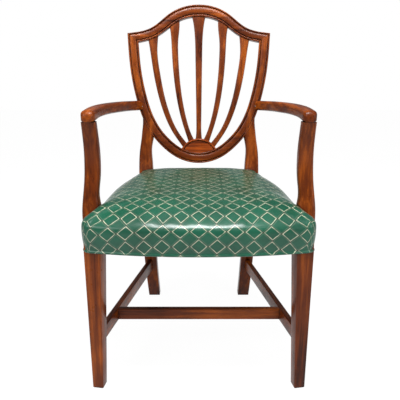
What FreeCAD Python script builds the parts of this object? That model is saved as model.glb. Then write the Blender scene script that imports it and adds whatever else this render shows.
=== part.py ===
import FreeCAD, Part
import math
import os
from FreeCAD import Vector

# Shield-back open armchair in mahogany with a stuffed-over, bow-fronted seat.
# Millimetres, +Z up. The chair faces -Y and is symmetric about X = 0.
# While it is drawn, Y = 0 is the front outer corner of the front legs and Z = 0 is the floor.
# Every piece is moved at the end so that the origin is under the middle of the whole chair.

# Fits
JOINT_CLEARANCE = 0.15
MORTISE_SPARE_DEPTH = 1.0
SOFT_CLEARANCE = 0.3
LEG_EDGE_EASE = 1.2
POST_EDGE_EASE = 2.0

# Seat frame
SEAT_HALF_WIDTH = 273.7
SEAT_BOW = 29.0
SIDE_SPLAY = 10.0
RAIL_BOTTOM = 380.0
RAIL_HEIGHT = 65.0
RAIL_THICKNESS = 28.0
TENON_THICKNESS = 10.0
TENON_SETBACK = 9.0
TENON_SHOULDER = 8.0
TENON_GAP = 2.5
FRONT_TENON_STOP = 15.5
REAR_TENON_LENGTH = 22.0
REAR_RAIL_THICKNESS = 26.0
REAR_RAIL_TENON_LENGTH = 14.0
REAR_RAIL_TENON_THICKNESS = 8.0
TENON_ROOT = 6.0

# Front legs
LEG_WIDTH_TOP = 41.5
LEG_WIDTH_FOOT = 27.5
LEG_TAPER_START = 377.0
FOOT_CHAMFER = 2.5
COVERED_LEG_RADIUS = 26.0

# Back posts, each one piece from the floor to the corner of the shield
POST_FRONT = 461.0
POST_DEPTH_SEAT = 36.0
POST_DEPTH_FOOT = 33.0
POST_WIDTH_FOOT = 38.0
POST_WIDTH_SEAT = 44.0
POST_FOOT_INWARD = 13.5
POST_RAKE = 62.0
POST_RAKE_START = 370.0
POST_FACE_SETBACK = 3.0

# Shield, drawn on a surface that leans back and is hollowed in plan
SHIELD_BASE_Y = 470.0
SHIELD_BASE_Z = 495.0
SHIELD_LEAN = 10.2
SHIELD_DISH = 14.0
SHIELD_HALF_WIDTH = 223.5
SHIELD_SHOULDER = 406.5
SHIELD_TOP = 494.5
MEMBER_WIDTH = 33.5
MEMBER_DEPTH = 24.0
MOULDING_DROP = 3.0
BEAD_WIDTH = 3.4
BEAD_RISE = 0.55
QUIRK_WIDTH = 1.0
QUIRK_DEPTH = 1.3

# Splats and lunette
SPLAT_SETBACK = 5.0
SPLAT_DEPTH = 12.0
SPLAT_EDGE_WIDTH = 3.0
SPLAT_EDGE_DROP = 1.6
SPLAT_TENON_SHOULDERS = 7.0
SPLAT_TENON_PAST_END = 5.0
SPLAT_TENON_THICKNESS = 7.0
LUNETTE_RADIUS = 64.0
LUNETTE_CENTRE = 15.5
LUNETTE_SETBACK = 2.0
LUNETTE_THICKNESS = 15.0
LUNETTE_RIM = 4.5
LUNETTE_RIM_RISE = 2.2
LUNETTE_TENON_START = 42.0
LUNETTE_TENON_LENGTH = 20.0
LUNETTE_TENON_WIDTH = 50.0
FRAME_TENON_THICKNESS = 8.0
BOWL_TENON_WIDTH = 18.0
CREST_TENON_WIDTH = 14.0

# Arms and their supports
ARM_HEIGHT = 30.0
ARM_WIDTH_BACK = 24.0
ARM_WIDTH_FRONT = 35.0
ARM_HOUSING_X = 183.0
ARM_SECTION_POINTS = 16
ARM_SQUARENESS = 0.55
ARM_UNDERSIDE_FULLNESS = 1.12
SUPPORT_TOP = 669.0
SUPPORT_BOTTOM = 387.0
SUPPORT_EDGE_RADIUS = 9.0
SUPPORT_DEPTH = 34.0
SUPPORT_DOWEL_RADIUS = 6.0
SUPPORT_DOWEL_LENGTH = 16.0
SUPPORT_DOWEL_SUNK = 14.0
SUPPORT_DOWEL_SIDES = 12

# Stretchers
STRETCHER_BOTTOM = 118.5
SIDE_STRETCHER_HEIGHT = 35.0
CROSS_STRETCHER_HEIGHT = 32.0
STRETCHER_THICKNESS = 15.5
STRETCHER_INSET = 8.0
STRETCHER_SPLAY = 10.6
STRETCHER_TENON_LENGTH = 16.0
STRETCHER_TENON_THICKNESS = 8.0
CROSS_STRETCHER_FRONT = 138.0
CROSS_TENON_LENGTH = 9.0

# Upholstery
COVER_THICKNESS = 1.8
COVER_BOTTOM = 377.0
COVER_STAND_OFF = 4.5
CROWN_RISE = 44.5
HEM_TURN_UNDER = 16.0
SEAT_BACK_OVERHANG = 4.5
WEB_WIDTH = 50.0
WEB_THICKNESS = 1.2
WEB_EDGE_MARGIN = 5.0
WEB_POST_MARGIN = 6.0
WEB_SHARE = 0.4
HESSIAN_THICKNESS = 1.0
HESSIAN_MARGIN = 4.0
BOTTOM_CLOTH_THICKNESS = 1.0
BOTTOM_CLOTH_INSET = 9.0

# Corner blocks, glued, and the screws that hold the arms and their supports
BLOCK_HEIGHT = 30.0
BLOCK_LIFT = 14.0
BLOCK_LEG = 70.0
BLOCK_SPARE = 30.0
SCREW_SHANK_RADIUS = 2.0
SCREW_HEAD_RADIUS = 4.0
SCREW_HEAD_HEIGHT = 2.5
SCREW_HOLE_CLEARANCE = 0.1
SCREW_SIDES = 8
COUNTERBORE_REACH = 12.0
SUPPORT_SCREW_LENGTH = 46.0
ARM_SCREW_LENGTH = 54.0

SPLAY_TAN = math.tan(math.radians(SIDE_SPLAY))
SPLAY_COS = math.cos(math.radians(SIDE_SPLAY))
SPLAY_SIN = math.sin(math.radians(SIDE_SPLAY))
RAIL_TOP = RAIL_BOTTOM + RAIL_HEIGHT
FRONT_TENON_LENGTH = LEG_WIDTH_TOP - FRONT_TENON_STOP
SIDE_TENON_LENGTH = LEG_WIDTH_TOP - TENON_SETBACK - TENON_THICKNESS - TENON_GAP
CREST_RISE = SHIELD_TOP - SHIELD_SHOULDER
POST_OUTER = SEAT_HALF_WIDTH - POST_FRONT * SPLAY_TAN
POST_BACK = POST_FRONT + POST_DEPTH_SEAT
LEAN_SIN = math.sin(math.radians(SHIELD_LEAN))
LEAN_COS = math.cos(math.radians(SHIELD_LEAN))

UP = Vector(0, 0, 1)
BACKWARD = Vector(0, 1, 0)
OUTWARD = Vector(1, 0, 0)

pieces = {}


def mirrored(shape):
    return shape.mirror(Vector(0, 0, 0), Vector(1, 0, 0))


def keep_pair(name, shape):
    """Keep a right-hand shape and its mirror image under left and right names."""
    pieces[name + "_right"] = shape
    pieces[name + "_left"] = mirrored(shape)


def rounded_polygon(points, radius, chords=3):
    """Closed wire round a flat convex polygon, each corner rounded in equal chords of an arc."""
    outline = []
    count = len(points)
    for index in range(count):
        corner = points[index]
        to_before = (points[index - 1] - corner).normalize()
        to_after = (points[(index + 1) % count] - corner).normalize()
        half_angle = to_before.getAngle(to_after) / 2
        reach = radius / math.tan(half_angle)
        centre = corner + (to_before + to_after).normalize() * (radius / math.sin(half_angle))
        first = corner + to_before * reach - centre
        last = corner + to_after * reach - centre
        turn = first.getAngle(last)
        for step in range(chords + 1):
            angle = turn * step / chords
            swing = first * math.sin(turn - angle) + last * math.sin(angle)
            outline.append(centre + swing * (1 / math.sin(turn)))
    return Part.makePolygon(outline + outline[:1])


def eased_polygon(points, ease):
    """Closed wire round a flat convex polygon, each sharp corner planed off."""
    outline = []
    count = len(points)
    for index in range(count):
        corner = points[index]
        outline.append(corner + (points[index - 1] - corner).normalize() * ease)
        outline.append(corner + (points[(index + 1) % count] - corner).normalize() * ease)
    return Part.makePolygon(outline + outline[:1])


def block(origin, along, across, up, length, width, height, grow=0.0, spare=0.0):
    """Box that starts at origin, runs along, and is centred across and up.

    grow widens it on both cheeks and both edges, spare adds to its far end."""
    half_width = width / 2 + grow
    half_height = height / 2 + grow
    start = origin - across * half_width - up * half_height
    face = Part.makePolygon([
        start,
        start + across * (2 * half_width),
        start + across * (2 * half_width) + up * (2 * half_height),
        start + up * (2 * half_height),
        start,
    ])
    return Part.Face(face).extrude(along * (length + spare))


def pin(base, direction, rings, sides):
    """Faceted pin along direction. rings gives each (distance, radius) from its base to its tip."""
    aside = direction.cross(UP).normalize()
    other = direction.cross(aside).normalize()
    sections = []
    for distance, radius in rings:
        outline = []
        for index in range(sides):
            angle = 2 * math.pi * (index + 0.5) / sides
            arm_out = aside * (radius * math.cos(angle)) + other * (radius * math.sin(angle))
            outline.append(base + direction * distance + arm_out)
        sections.append(Part.makePolygon(outline + outline[:1]))
    return loft(sections)


def screw(head_point, direction, length, grow=0.0):
    """Countersunk wood screw whose flat head lies at head_point. grow makes the hole for it."""
    rings = (
        (0.0, SCREW_HEAD_RADIUS + grow),
        (SCREW_HEAD_HEIGHT, SCREW_SHANK_RADIUS + grow),
        (length + grow, SCREW_SHANK_RADIUS + grow),
    )
    return pin(head_point, direction, rings, SCREW_SIDES)


def loft(sections):
    """Solid drawn straight from each section to the next."""
    return Part.makeLoft(sections, True, True)


def curve_through(points):
    curve = Part.BSplineCurve()
    curve.interpolate([Vector(u, t, 0) for u, t in points])
    return curve


# Shield surface
def on_shield(u, t, depth=0.0):
    """Point of the chair for a place on the shield: u across, t up the lean, depth into the wood."""
    hollow = SHIELD_DISH * (1 - (u / SHIELD_HALF_WIDTH) ** 2)
    inward = depth + hollow
    return Vector(
        u,
        SHIELD_BASE_Y + t * LEAN_SIN + inward * LEAN_COS,
        SHIELD_BASE_Z + t * LEAN_COS - inward * LEAN_SIN,
    )


def shield_frame(u, t, across_u, across_t):
    """Origin, unit direction across and unit direction into the wood at a place on the shield."""
    step = 0.5
    origin = on_shield(u, t)
    ahead = on_shield(u + across_u * step, t + across_t * step)
    behind = on_shield(u - across_u * step, t - across_t * step)
    across = (ahead - behind).normalize()
    side_u = on_shield(u + step, t) - on_shield(u - step, t)
    side_t = on_shield(u, t + step) - on_shield(u, t - step)
    back = side_t.cross(side_u).normalize()
    back = (back - across * back.dot(across)).normalize()
    return origin, across, back


def moulding_section(outer, inner):
    """Moulded profile of the shield frame between two (u, t) places, outer edge first.

    Bead, quirk, broad rounded band, quirk and bead on the face, and a flat back."""
    across_u = inner[0] - outer[0]
    across_t = inner[1] - outer[1]
    width = math.hypot(across_u, across_t)
    middle_u = (outer[0] + inner[0]) / 2
    middle_t = (outer[1] + inner[1]) / 2
    origin, across, back = shield_frame(middle_u, middle_t, across_u / width, across_t / width)
    stretch = width / MEMBER_WIDTH

    def at(w, d):
        return origin + across * ((w - MEMBER_WIDTH / 2) * stretch) + back * d

    bead_top = MOULDING_DROP - BEAD_RISE
    bead_flat = BEAD_WIDTH / 4
    band_start = BEAD_WIDTH + QUIRK_WIDTH
    band_end = MEMBER_WIDTH - band_start
    quirk_floor = MOULDING_DROP + QUIRK_DEPTH
    last_bead = MEMBER_WIDTH - BEAD_WIDTH
    up_to_band = [
        at(0, MEMBER_DEPTH),
        at(0, MOULDING_DROP),
        at(bead_flat, bead_top),
        at(BEAD_WIDTH - bead_flat, bead_top),
        at(BEAD_WIDTH, MOULDING_DROP),
        at(BEAD_WIDTH + QUIRK_WIDTH / 2, quirk_floor),
        at(band_start, MOULDING_DROP),
    ]
    after_band = [
        at(band_end, MOULDING_DROP),
        at(band_end + QUIRK_WIDTH / 2, quirk_floor),
        at(last_bead, MOULDING_DROP),
        at(last_bead + bead_flat, bead_top),
        at(MEMBER_WIDTH - bead_flat, bead_top),
        at(MEMBER_WIDTH, MOULDING_DROP),
        at(MEMBER_WIDTH, MEMBER_DEPTH),
        at(0, MEMBER_DEPTH),
    ]
    edges = [Part.LineSegment(*pair).toShape() for pair in zip(up_to_band, up_to_band[1:])]
    edges.append(Part.Arc(at(band_start, MOULDING_DROP), at(MEMBER_WIDTH / 2, 0), at(band_end, MOULDING_DROP)).toShape())
    edges += [Part.LineSegment(*pair).toShape() for pair in zip(after_band, after_band[1:])]
    return Part.Wire(edges)


def offset_place(place, width, side):
    """Outer and inner (u, t) of a member whose outer edge passes through a station."""
    point, tangent = place
    normal_u = tangent.y * side
    normal_t = -tangent.x * side
    return (point.x, point.y), (point.x + normal_u * width, point.y + normal_t * width)


# Right half of the shield's outer edge, from the bottom of the bowl to the shoulder
BOWL_POINTS = [(0.0, 0.0), (68.5, 16.7), (119.9, 55.4), (144.5, 83.0)]
SIDE_POINTS = [(144.5, 83.0), (179.8, 146.0), (199.0, 207.0), (215.0, 290.0), (SHIELD_HALF_WIDTH, SHIELD_SHOULDER)]
# Right half of the crest's top edge, from the shoulder to the middle
CREST_POINTS = [
    (SHIELD_HALF_WIDTH, SHIELD_SHOULDER),
    (190.0, SHIELD_SHOULDER + 0.057 * CREST_RISE),
    (160.0, SHIELD_SHOULDER + 0.153 * CREST_RISE),
    (130.0, SHIELD_SHOULDER + 0.352 * CREST_RISE),
    (97.2, SHIELD_SHOULDER + 0.642 * CREST_RISE),
    (60.0, SHIELD_SHOULDER + 0.881 * CREST_RISE),
    (0.0, SHIELD_TOP),
]
SHOULDER_INNER = (SHIELD_HALF_WIDTH - 34.0, SHIELD_SHOULDER - 26.0)
CREST_WIDTH_ENDS = 30.5
CREST_WIDTH_MIDDLE = 35.5
# How many sections each curved member is drawn through
SIDE_STATIONS = 9
BOWL_STATIONS = 14
CREST_STATIONS = 15


def whole_outline():
    """One smooth curve down the left side, round the bowl and up the right side."""
    right = BOWL_POINTS[:-1] + SIDE_POINTS
    left = [(-u, t) for u, t in reversed(right[1:])]
    return curve_through(left + right)


def parameter_near(curve, u, t):
    return curve.parameter(Vector(u, t, 0))


def member_sections(curve, first_parameter, last_parameter, count):
    sections = []
    for index in range(count):
        parameter = first_parameter + (last_parameter - first_parameter) * index / (count - 1)
        tangent = Vector(*curve.tangent(parameter)[0])
        outer, inner = offset_place((curve.value(parameter), tangent), MEMBER_WIDTH, -1)
        sections.append(moulding_section(outer, inner))
    return sections


OUTLINE = whole_outline()
JOINT_RIGHT = parameter_near(OUTLINE, *SIDE_POINTS[0])
JOINT_LEFT = parameter_near(OUTLINE, -SIDE_POINTS[0][0], SIDE_POINTS[0][1])
NEAR_SHOULDER = parameter_near(OUTLINE, SHIELD_HALF_WIDTH - 1.2, SHIELD_SHOULDER - 40.0)


def shield_side():
    """Moulded right side of the shield, from the bowl joint to the mitre at the shoulder."""
    sections = member_sections(OUTLINE, JOINT_RIGHT, NEAR_SHOULDER, SIDE_STATIONS)
    sections.append(moulding_section((SHIELD_HALF_WIDTH, SHIELD_SHOULDER), SHOULDER_INNER))
    return loft(sections)


def shield_bowl():
    return loft(member_sections(OUTLINE, JOINT_LEFT, JOINT_RIGHT, BOWL_STATIONS))


def crest():
    half = CREST_POINTS
    other = [(-u, t) for u, t in reversed(half[:-1])]
    curve = curve_through(half + other)
    sections = [moulding_section((SHIELD_HALF_WIDTH, SHIELD_SHOULDER), SHOULDER_INNER)]
    first = parameter_near(curve, *half[1])
    last = parameter_near(curve, -half[1][0], half[1][1])
    for index in range(CREST_STATIONS):
        share = index / (CREST_STATIONS - 1)
        parameter = first + (last - first) * share
        tangent = Vector(*curve.tangent(parameter)[0])
        swell = math.sin(math.pi * share)
        width = CREST_WIDTH_ENDS + (CREST_WIDTH_MIDDLE - CREST_WIDTH_ENDS) * swell
        outer, inner = offset_place((curve.value(parameter), tangent), width, -1)
        sections.append(moulding_section(outer, inner))
    left_inner = (-SHOULDER_INNER[0], SHOULDER_INNER[1])
    sections.append(moulding_section((-SHIELD_HALF_WIDTH, SHIELD_SHOULDER), left_inner))
    return loft(sections)


# Back posts
def post_front(z):
    """Front face of a back post: swept back to the floor, upright at the rails, then leaning."""
    rake = 0.0
    if z < POST_RAKE_START:
        rake = POST_RAKE * (1 - z / POST_RAKE_START) ** 2.1
    return POST_FRONT + rake


def post_loft(grow=0.0):
    """Leg, seat joint and neck of the right back post, up to where it meets the shield side."""
    upright = []
    for z in (0.0, 60.0, 125.0, 190.0, 250.0, 310.0, POST_RAKE_START, RAIL_TOP):
        share = min(z / POST_RAKE_START, 1.0)
        outer = POST_OUTER - POST_FOOT_INWARD * (1 - share) ** 1.3
        width = POST_WIDTH_FOOT + (POST_WIDTH_SEAT - POST_WIDTH_FOOT) * share
        depth = POST_DEPTH_FOOT + (POST_DEPTH_SEAT - POST_DEPTH_FOOT) * share
        upright.append((z, outer, width, post_front(z), depth))
    # Neck: height up the shield, outer face, width and depth of the wood there
    neck_rows = (
        (8.0, 193.0, 41.5, 31.0),
        (45.0, 190.0, 37.5, 26.0),
        (78.0, 185.0, 38.5, 22.5),
        (105.0, 182.0, 38.0, MEMBER_DEPTH - POST_FACE_SETBACK),
        (130.0, 179.5, 30.0, MEMBER_DEPTH - POST_FACE_SETBACK),
        (152.0, 180.5, 24.0, MEMBER_DEPTH - POST_FACE_SETBACK),
    )
    for t, outer, width, depth in neck_rows:
        front = on_shield(outer - width / 2, t, POST_FACE_SETBACK)
        upright.append((front.z, outer, width, front.y, depth / LEAN_COS))
    sections = []
    for z, outer, width, front, depth in upright:
        corners = [
            Vector(outer + grow, front - grow, z),
            Vector(outer + grow, front + depth + grow, z),
            Vector(outer - width - grow, front + depth + grow, z),
            Vector(outer - width - grow, front - grow, z),
        ]
        sections.append(eased_polygon(corners, POST_EDGE_EASE))
    return loft(sections)


# Seat plan
def side_x(y, inset=0.0):
    """Half width of the seat frame at y, measured square in from the side rails' outer face."""
    return SEAT_HALF_WIDTH - y * SPLAY_TAN - inset / SPLAY_COS


def front_arc_radius():
    return (SEAT_HALF_WIDTH ** 2 + SEAT_BOW ** 2) / (2 * SEAT_BOW)


def front_arc(offset, z, half_width):
    """Points of the bow front at a height: two ends and the middle. offset grows it outwards."""
    radius = front_arc_radius() + offset
    centre_y = front_arc_radius() - SEAT_BOW
    end_y = centre_y - math.sqrt(radius ** 2 - half_width ** 2)
    return Vector(half_width, end_y, z), Vector(0, centre_y - radius, z), Vector(-half_width, end_y, z)


def seat_outline(offset, z, corner, back_y):
    """Closed plan outline of the seat: bow front, rounded front corners, straight sides and back."""
    radius = front_arc_radius() + offset
    centre_y = front_arc_radius() - SEAT_BOW
    half = side_x(0.0, -offset)
    for _ in range(6):
        end_y = centre_y - math.sqrt(radius ** 2 - half ** 2)
        half = side_x(end_y, -offset)
    arc_half = half - corner
    end_right, middle, end_left = front_arc(offset, z, arc_half)
    side_start = Vector(side_x(end_y + corner, -offset), end_y + corner, z)
    pull = corner * 0.3
    bend = Vector(half - pull, end_y + pull, z)
    back_right = Vector(side_x(back_y, -offset), back_y, z)
    edges = [
        Part.Arc(end_left, middle, end_right),
        Part.Arc(end_right, bend, side_start),
        Part.LineSegment(side_start, back_right),
        Part.LineSegment(back_right, Vector(-back_right.x, back_right.y, z)),
        Part.LineSegment(Vector(-back_right.x, back_right.y, z), Vector(-side_start.x, side_start.y, z)),
        Part.Arc(Vector(-side_start.x, side_start.y, z), Vector(-bend.x, bend.y, z), end_left),
    ]
    return Part.Wire([edge.toShape() for edge in edges])


def seat_prism(offset, bottom, top, back_y, corner=2.0):
    outline = Part.Face(seat_outline(offset, bottom, corner, back_y))
    return outline.extrude(Vector(0, 0, top - bottom))


# Height, how far the side stands out from the wood, and the corner's radius
SEAT_ROWS = (
    (COVER_BOTTOM, COVER_STAND_OFF - 1.5, 16.0),
    (COVER_BOTTOM + 0.4 * RAIL_HEIGHT, COVER_STAND_OFF + 0.8, 18.0),
    (COVER_BOTTOM + 0.8 * RAIL_HEIGHT, COVER_STAND_OFF + 0.6, 20.0),
    (RAIL_TOP + 6.0, COVER_STAND_OFF - 2.2, 23.0),
    (RAIL_TOP + 22.0, COVER_STAND_OFF - 13.0, 30.0),
    (RAIL_TOP + 34.0, COVER_STAND_OFF - 40.0, 42.0),
    (RAIL_TOP + CROWN_RISE, COVER_STAND_OFF - 110.0, 62.0),
)
# The rows that the stuffing keeps. Past them the wadding, which is part of the cover, fills the form
STUFFING_ROWS = (SEAT_ROWS[0], SEAT_ROWS[2], SEAT_ROWS[3], SEAT_ROWS[5])


def seat_form(rows, shrink):
    """Crowned seat: sides drawn in below and above their fullest line, and a domed top."""
    sections = []
    for z, stand_off, corner in rows:
        back_y = POST_BACK + SEAT_BACK_OVERHANG + min(stand_off - COVER_STAND_OFF, 0.0) * 0.8 - shrink
        sections.append(seat_outline(stand_off - shrink, z, corner, back_y))
    form = loft(sections)
    form.translate(Vector(0, 0, -shrink))
    return form


# Front legs
def front_leg_section(z, width, inset=0.0):
    corner = Vector(SEAT_HALF_WIDTH, 0, z)
    inward = Vector(-SPLAY_COS, -SPLAY_SIN, 0)
    back = Vector(-SPLAY_SIN, SPLAY_COS, 0)
    near = inset
    far = width - inset
    points = [
        corner + inward * near + back * near,
        corner + inward * near + back * far,
        corner + inward * far + back * far,
        corner + inward * far + back * near,
    ]
    return eased_polygon(points, LEG_EDGE_EASE)


def front_leg_width(z):
    share = min(z / LEG_TAPER_START, 1.0)
    return LEG_WIDTH_FOOT + (LEG_WIDTH_TOP - LEG_WIDTH_FOOT) * share


def front_leg():
    """Tapered leg, its top corner rounded off where the cover goes round it."""
    levels = [
        front_leg_section(0.0, LEG_WIDTH_FOOT, FOOT_CHAMFER),
        front_leg_section(FOOT_CHAMFER, front_leg_width(FOOT_CHAMFER)),
        front_leg_section(LEG_TAPER_START, LEG_WIDTH_TOP),
        front_leg_section(RAIL_TOP, LEG_WIDTH_TOP),
    ]
    leg = loft(levels)
    covered = Part.makeBox(900.0, 900.0, RAIL_HEIGHT * 2, Vector(-450.0, -200.0, COVER_BOTTOM))
    within = seat_prism(0.0, COVER_BOTTOM, RAIL_TOP, POST_BACK, COVERED_LEG_RADIUS)
    return leg.cut(covered.cut(within))


LEG_CORNER = Vector(SEAT_HALF_WIDTH, 0, 0)
LEG_INWARD = Vector(-SPLAY_COS, -SPLAY_SIN, 0)
LEG_BACK = Vector(-SPLAY_SIN, SPLAY_COS, 0)
TENON_HEIGHT = RAIL_HEIGHT - 2 * TENON_SHOULDER
RAIL_MIDDLE = RAIL_BOTTOM + RAIL_HEIGHT / 2


def front_rail_tenon(grow=0.0, spare=0.0):
    """Right-hand tenon of the front rail, let into the leg's inner face."""
    start = LEG_CORNER + LEG_INWARD * (LEG_WIDTH_TOP + TENON_ROOT) + LEG_BACK * (TENON_SETBACK + TENON_THICKNESS / 2)
    start = start + UP * RAIL_MIDDLE
    along = LEG_INWARD * -1
    return block(
        start, along, LEG_BACK, UP, FRONT_TENON_LENGTH + TENON_ROOT, TENON_THICKNESS, TENON_HEIGHT, grow, spare
    )


def side_rail_front_tenon(grow=0.0, spare=0.0):
    start = LEG_CORNER + LEG_BACK * (LEG_WIDTH_TOP + TENON_ROOT) + LEG_INWARD * (TENON_SETBACK + TENON_THICKNESS / 2)
    start = start + UP * RAIL_MIDDLE
    along = LEG_BACK * -1
    return block(
        start, along, LEG_INWARD, UP, SIDE_TENON_LENGTH + TENON_ROOT, TENON_THICKNESS, TENON_HEIGHT, grow, spare
    )


def side_rail_rear_tenon(grow=0.0, spare=0.0):
    middle = TENON_SETBACK + TENON_THICKNESS / 2
    start = Vector(side_x(POST_FRONT - TENON_ROOT, middle), POST_FRONT - TENON_ROOT, RAIL_MIDDLE)
    return block(
        start, LEG_BACK, LEG_INWARD, UP, REAR_TENON_LENGTH + TENON_ROOT, TENON_THICKNESS, TENON_HEIGHT, grow, spare
    )


def rear_rail_tenon(grow=0.0, spare=0.0):
    inner = POST_OUTER - POST_WIDTH_SEAT
    start = Vector(inner - TENON_ROOT, POST_BACK - TENON_SETBACK, RAIL_MIDDLE)
    length = REAR_RAIL_TENON_LENGTH + TENON_ROOT
    return block(start, OUTWARD, BACKWARD, UP, length, REAR_RAIL_TENON_THICKNESS, TENON_HEIGHT, grow, spare)


def front_rail_ring(grow=0.0):
    """Bow-fronted bar of the front rail before its ends are cut. grow moves its inner face in."""
    radius = front_arc_radius()
    centre = Vector(0, radius - SEAT_BOW, RAIL_BOTTOM)
    outer = Part.makeCylinder(radius, RAIL_HEIGHT, centre)
    inner = Part.makeCylinder(radius - RAIL_THICKNESS - grow, RAIL_HEIGHT, centre)
    keep = Part.makeBox(2 * SEAT_HALF_WIDTH, 120.0, RAIL_HEIGHT, Vector(-SEAT_HALF_WIDTH, -SEAT_BOW - 1, RAIL_BOTTOM))
    return outer.cut(inner).common(keep)


def front_rail():
    clear = leg_side_cutter()
    bar = front_rail_ring().cut(clear).cut(mirrored(clear))
    return bar.fuse([front_rail_tenon(), mirrored(front_rail_tenon())]).removeSplitter()


def leg_side_cutter():
    """All the space outside the plane of the right leg's inner face."""
    start = LEG_CORNER + LEG_INWARD * LEG_WIDTH_TOP + UP * (RAIL_BOTTOM - 1)
    start = start - LEG_BACK * 150.0
    face = Part.makePolygon([
        start,
        start - LEG_INWARD * 200.0,
        start - LEG_INWARD * 200.0 + LEG_BACK * 400.0,
        start + LEG_BACK * 400.0,
        start,
    ])
    return Part.Face(face).extrude(UP * (RAIL_HEIGHT + 2))


def side_rail(post):
    front = LEG_CORNER + LEG_BACK * LEG_WIDTH_TOP + UP * RAIL_BOTTOM
    length = (POST_FRONT + 12.0) / SPLAY_COS - LEG_WIDTH_TOP
    face = Part.makePolygon([
        front,
        front + LEG_BACK * length,
        front + LEG_BACK * length + LEG_INWARD * RAIL_THICKNESS,
        front + LEG_INWARD * RAIL_THICKNESS,
        front,
    ])
    rail = Part.Face(face).extrude(UP * RAIL_HEIGHT)
    rail = rail.cut(post)
    rail = max(rail.Solids, key=lambda solid: solid.Volume)
    behind = Part.makeBox(200.0, 60.0, RAIL_HEIGHT + 2, Vector(60.0, POST_FRONT, RAIL_BOTTOM - 1))
    rail = rail.cut(behind)
    return rail.fuse([side_rail_front_tenon(), side_rail_rear_tenon()]).removeSplitter()


def rear_rail(post):
    half = POST_OUTER - POST_WIDTH_SEAT / 2
    rail = Part.makeBox(
        2 * half, REAR_RAIL_THICKNESS, RAIL_HEIGHT, Vector(-half, POST_BACK - REAR_RAIL_THICKNESS, RAIL_BOTTOM)
    )
    rail = rail.cut(post).cut(mirrored(post))
    rail = max(rail.Solids, key=lambda solid: solid.Volume)
    return rail.fuse([rear_rail_tenon(), mirrored(rear_rail_tenon())]).removeSplitter()


# Stretchers
STRETCHER_TAN = math.tan(math.radians(STRETCHER_SPLAY))
STRETCHER_ALONG = Vector(-math.sin(math.radians(STRETCHER_SPLAY)), math.cos(math.radians(STRETCHER_SPLAY)), 0)
STRETCHER_ACROSS = Vector(STRETCHER_ALONG.y, -STRETCHER_ALONG.x, 0)
STRETCHER_MIDDLE = STRETCHER_BOTTOM + SIDE_STRETCHER_HEIGHT / 2


def stretcher_x(y):
    """Middle of the right side stretcher at y."""
    return SEAT_HALF_WIDTH - STRETCHER_INSET - STRETCHER_THICKNESS / 2 - y * STRETCHER_TAN


def side_stretcher_body():
    first = -10.0
    start = Vector(stretcher_x(first), first, STRETCHER_MIDDLE)
    length = 530.0
    return block(
        start, STRETCHER_ALONG, STRETCHER_ACROSS, UP, length, STRETCHER_THICKNESS, SIDE_STRETCHER_HEIGHT
    )


def stretcher_tenon(y, direction, grow=0.0, spare=0.0):
    """Tenon of the right side stretcher that starts at y and runs forwards or backwards."""
    overlap = 5.0
    start_y = y - direction * overlap * STRETCHER_ALONG.y
    start = Vector(stretcher_x(start_y), start_y, STRETCHER_MIDDLE)
    height = SIDE_STRETCHER_HEIGHT - 10.0
    length = STRETCHER_TENON_LENGTH + overlap
    along = STRETCHER_ALONG * direction
    return block(start, along, STRETCHER_ACROSS, UP, length, STRETCHER_TENON_THICKNESS, height, grow, spare)


def stretcher_front_y():
    return front_leg_width(STRETCHER_MIDDLE) * SPLAY_COS - 1.0


def stretcher_rear_y():
    return post_front(STRETCHER_MIDDLE)


def side_stretcher(leg, post):
    body = side_stretcher_body().cut(leg).cut(post)
    body = max(body.Solids, key=lambda solid: solid.Volume)
    tenons = [stretcher_tenon(stretcher_front_y(), -1), stretcher_tenon(stretcher_rear_y(), 1)]
    return body.fuse(tenons).removeSplitter()


def cross_tenon(grow=0.0, spare=0.0):
    overlap = 12.0
    middle_y = CROSS_STRETCHER_FRONT + STRETCHER_THICKNESS / 2
    inner_x = stretcher_x(middle_y) - STRETCHER_THICKNESS / 2
    start = Vector(inner_x - overlap, middle_y, STRETCHER_MIDDLE)
    height = CROSS_STRETCHER_HEIGHT - 10.0
    length = CROSS_TENON_LENGTH + overlap
    return block(start, OUTWARD, BACKWARD, UP, length, STRETCHER_TENON_THICKNESS, height, grow, spare)


def cross_stretcher():
    middle_y = CROSS_STRETCHER_FRONT + STRETCHER_THICKNESS / 2
    half = stretcher_x(middle_y)
    start = Vector(-half, middle_y, STRETCHER_MIDDLE)
    body = block(
        start, OUTWARD, BACKWARD, UP, 2 * half, STRETCHER_THICKNESS, CROSS_STRETCHER_HEIGHT
    )
    sides = side_stretcher_body()
    body = body.cut(sides).cut(mirrored(sides))
    body = max(body.Solids, key=lambda solid: solid.Volume)
    return body.fuse([cross_tenon(), mirrored(cross_tenon())]).removeSplitter()


# Splats: path places (u, t), width there, and where the tenons start
def splat_section(u, t, tangent, width):
    across_u = -tangent.y
    across_t = tangent.x
    origin, across, back = shield_frame(u, t, across_u, across_t)

    def at(x, depth):
        return origin + across * x + back * depth

    edge_depth = SPLAT_SETBACK + SPLAT_EDGE_DROP
    rear = SPLAT_SETBACK + SPLAT_DEPTH
    half = width / 2
    outline = [
        at(-half, edge_depth),
        at(SPLAT_EDGE_WIDTH - half, SPLAT_SETBACK),
        at(half - SPLAT_EDGE_WIDTH, SPLAT_SETBACK),
        at(half, edge_depth),
        at(half, rear),
        at(-half, rear),
    ]
    return Part.makePolygon(outline + outline[:1])


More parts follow.
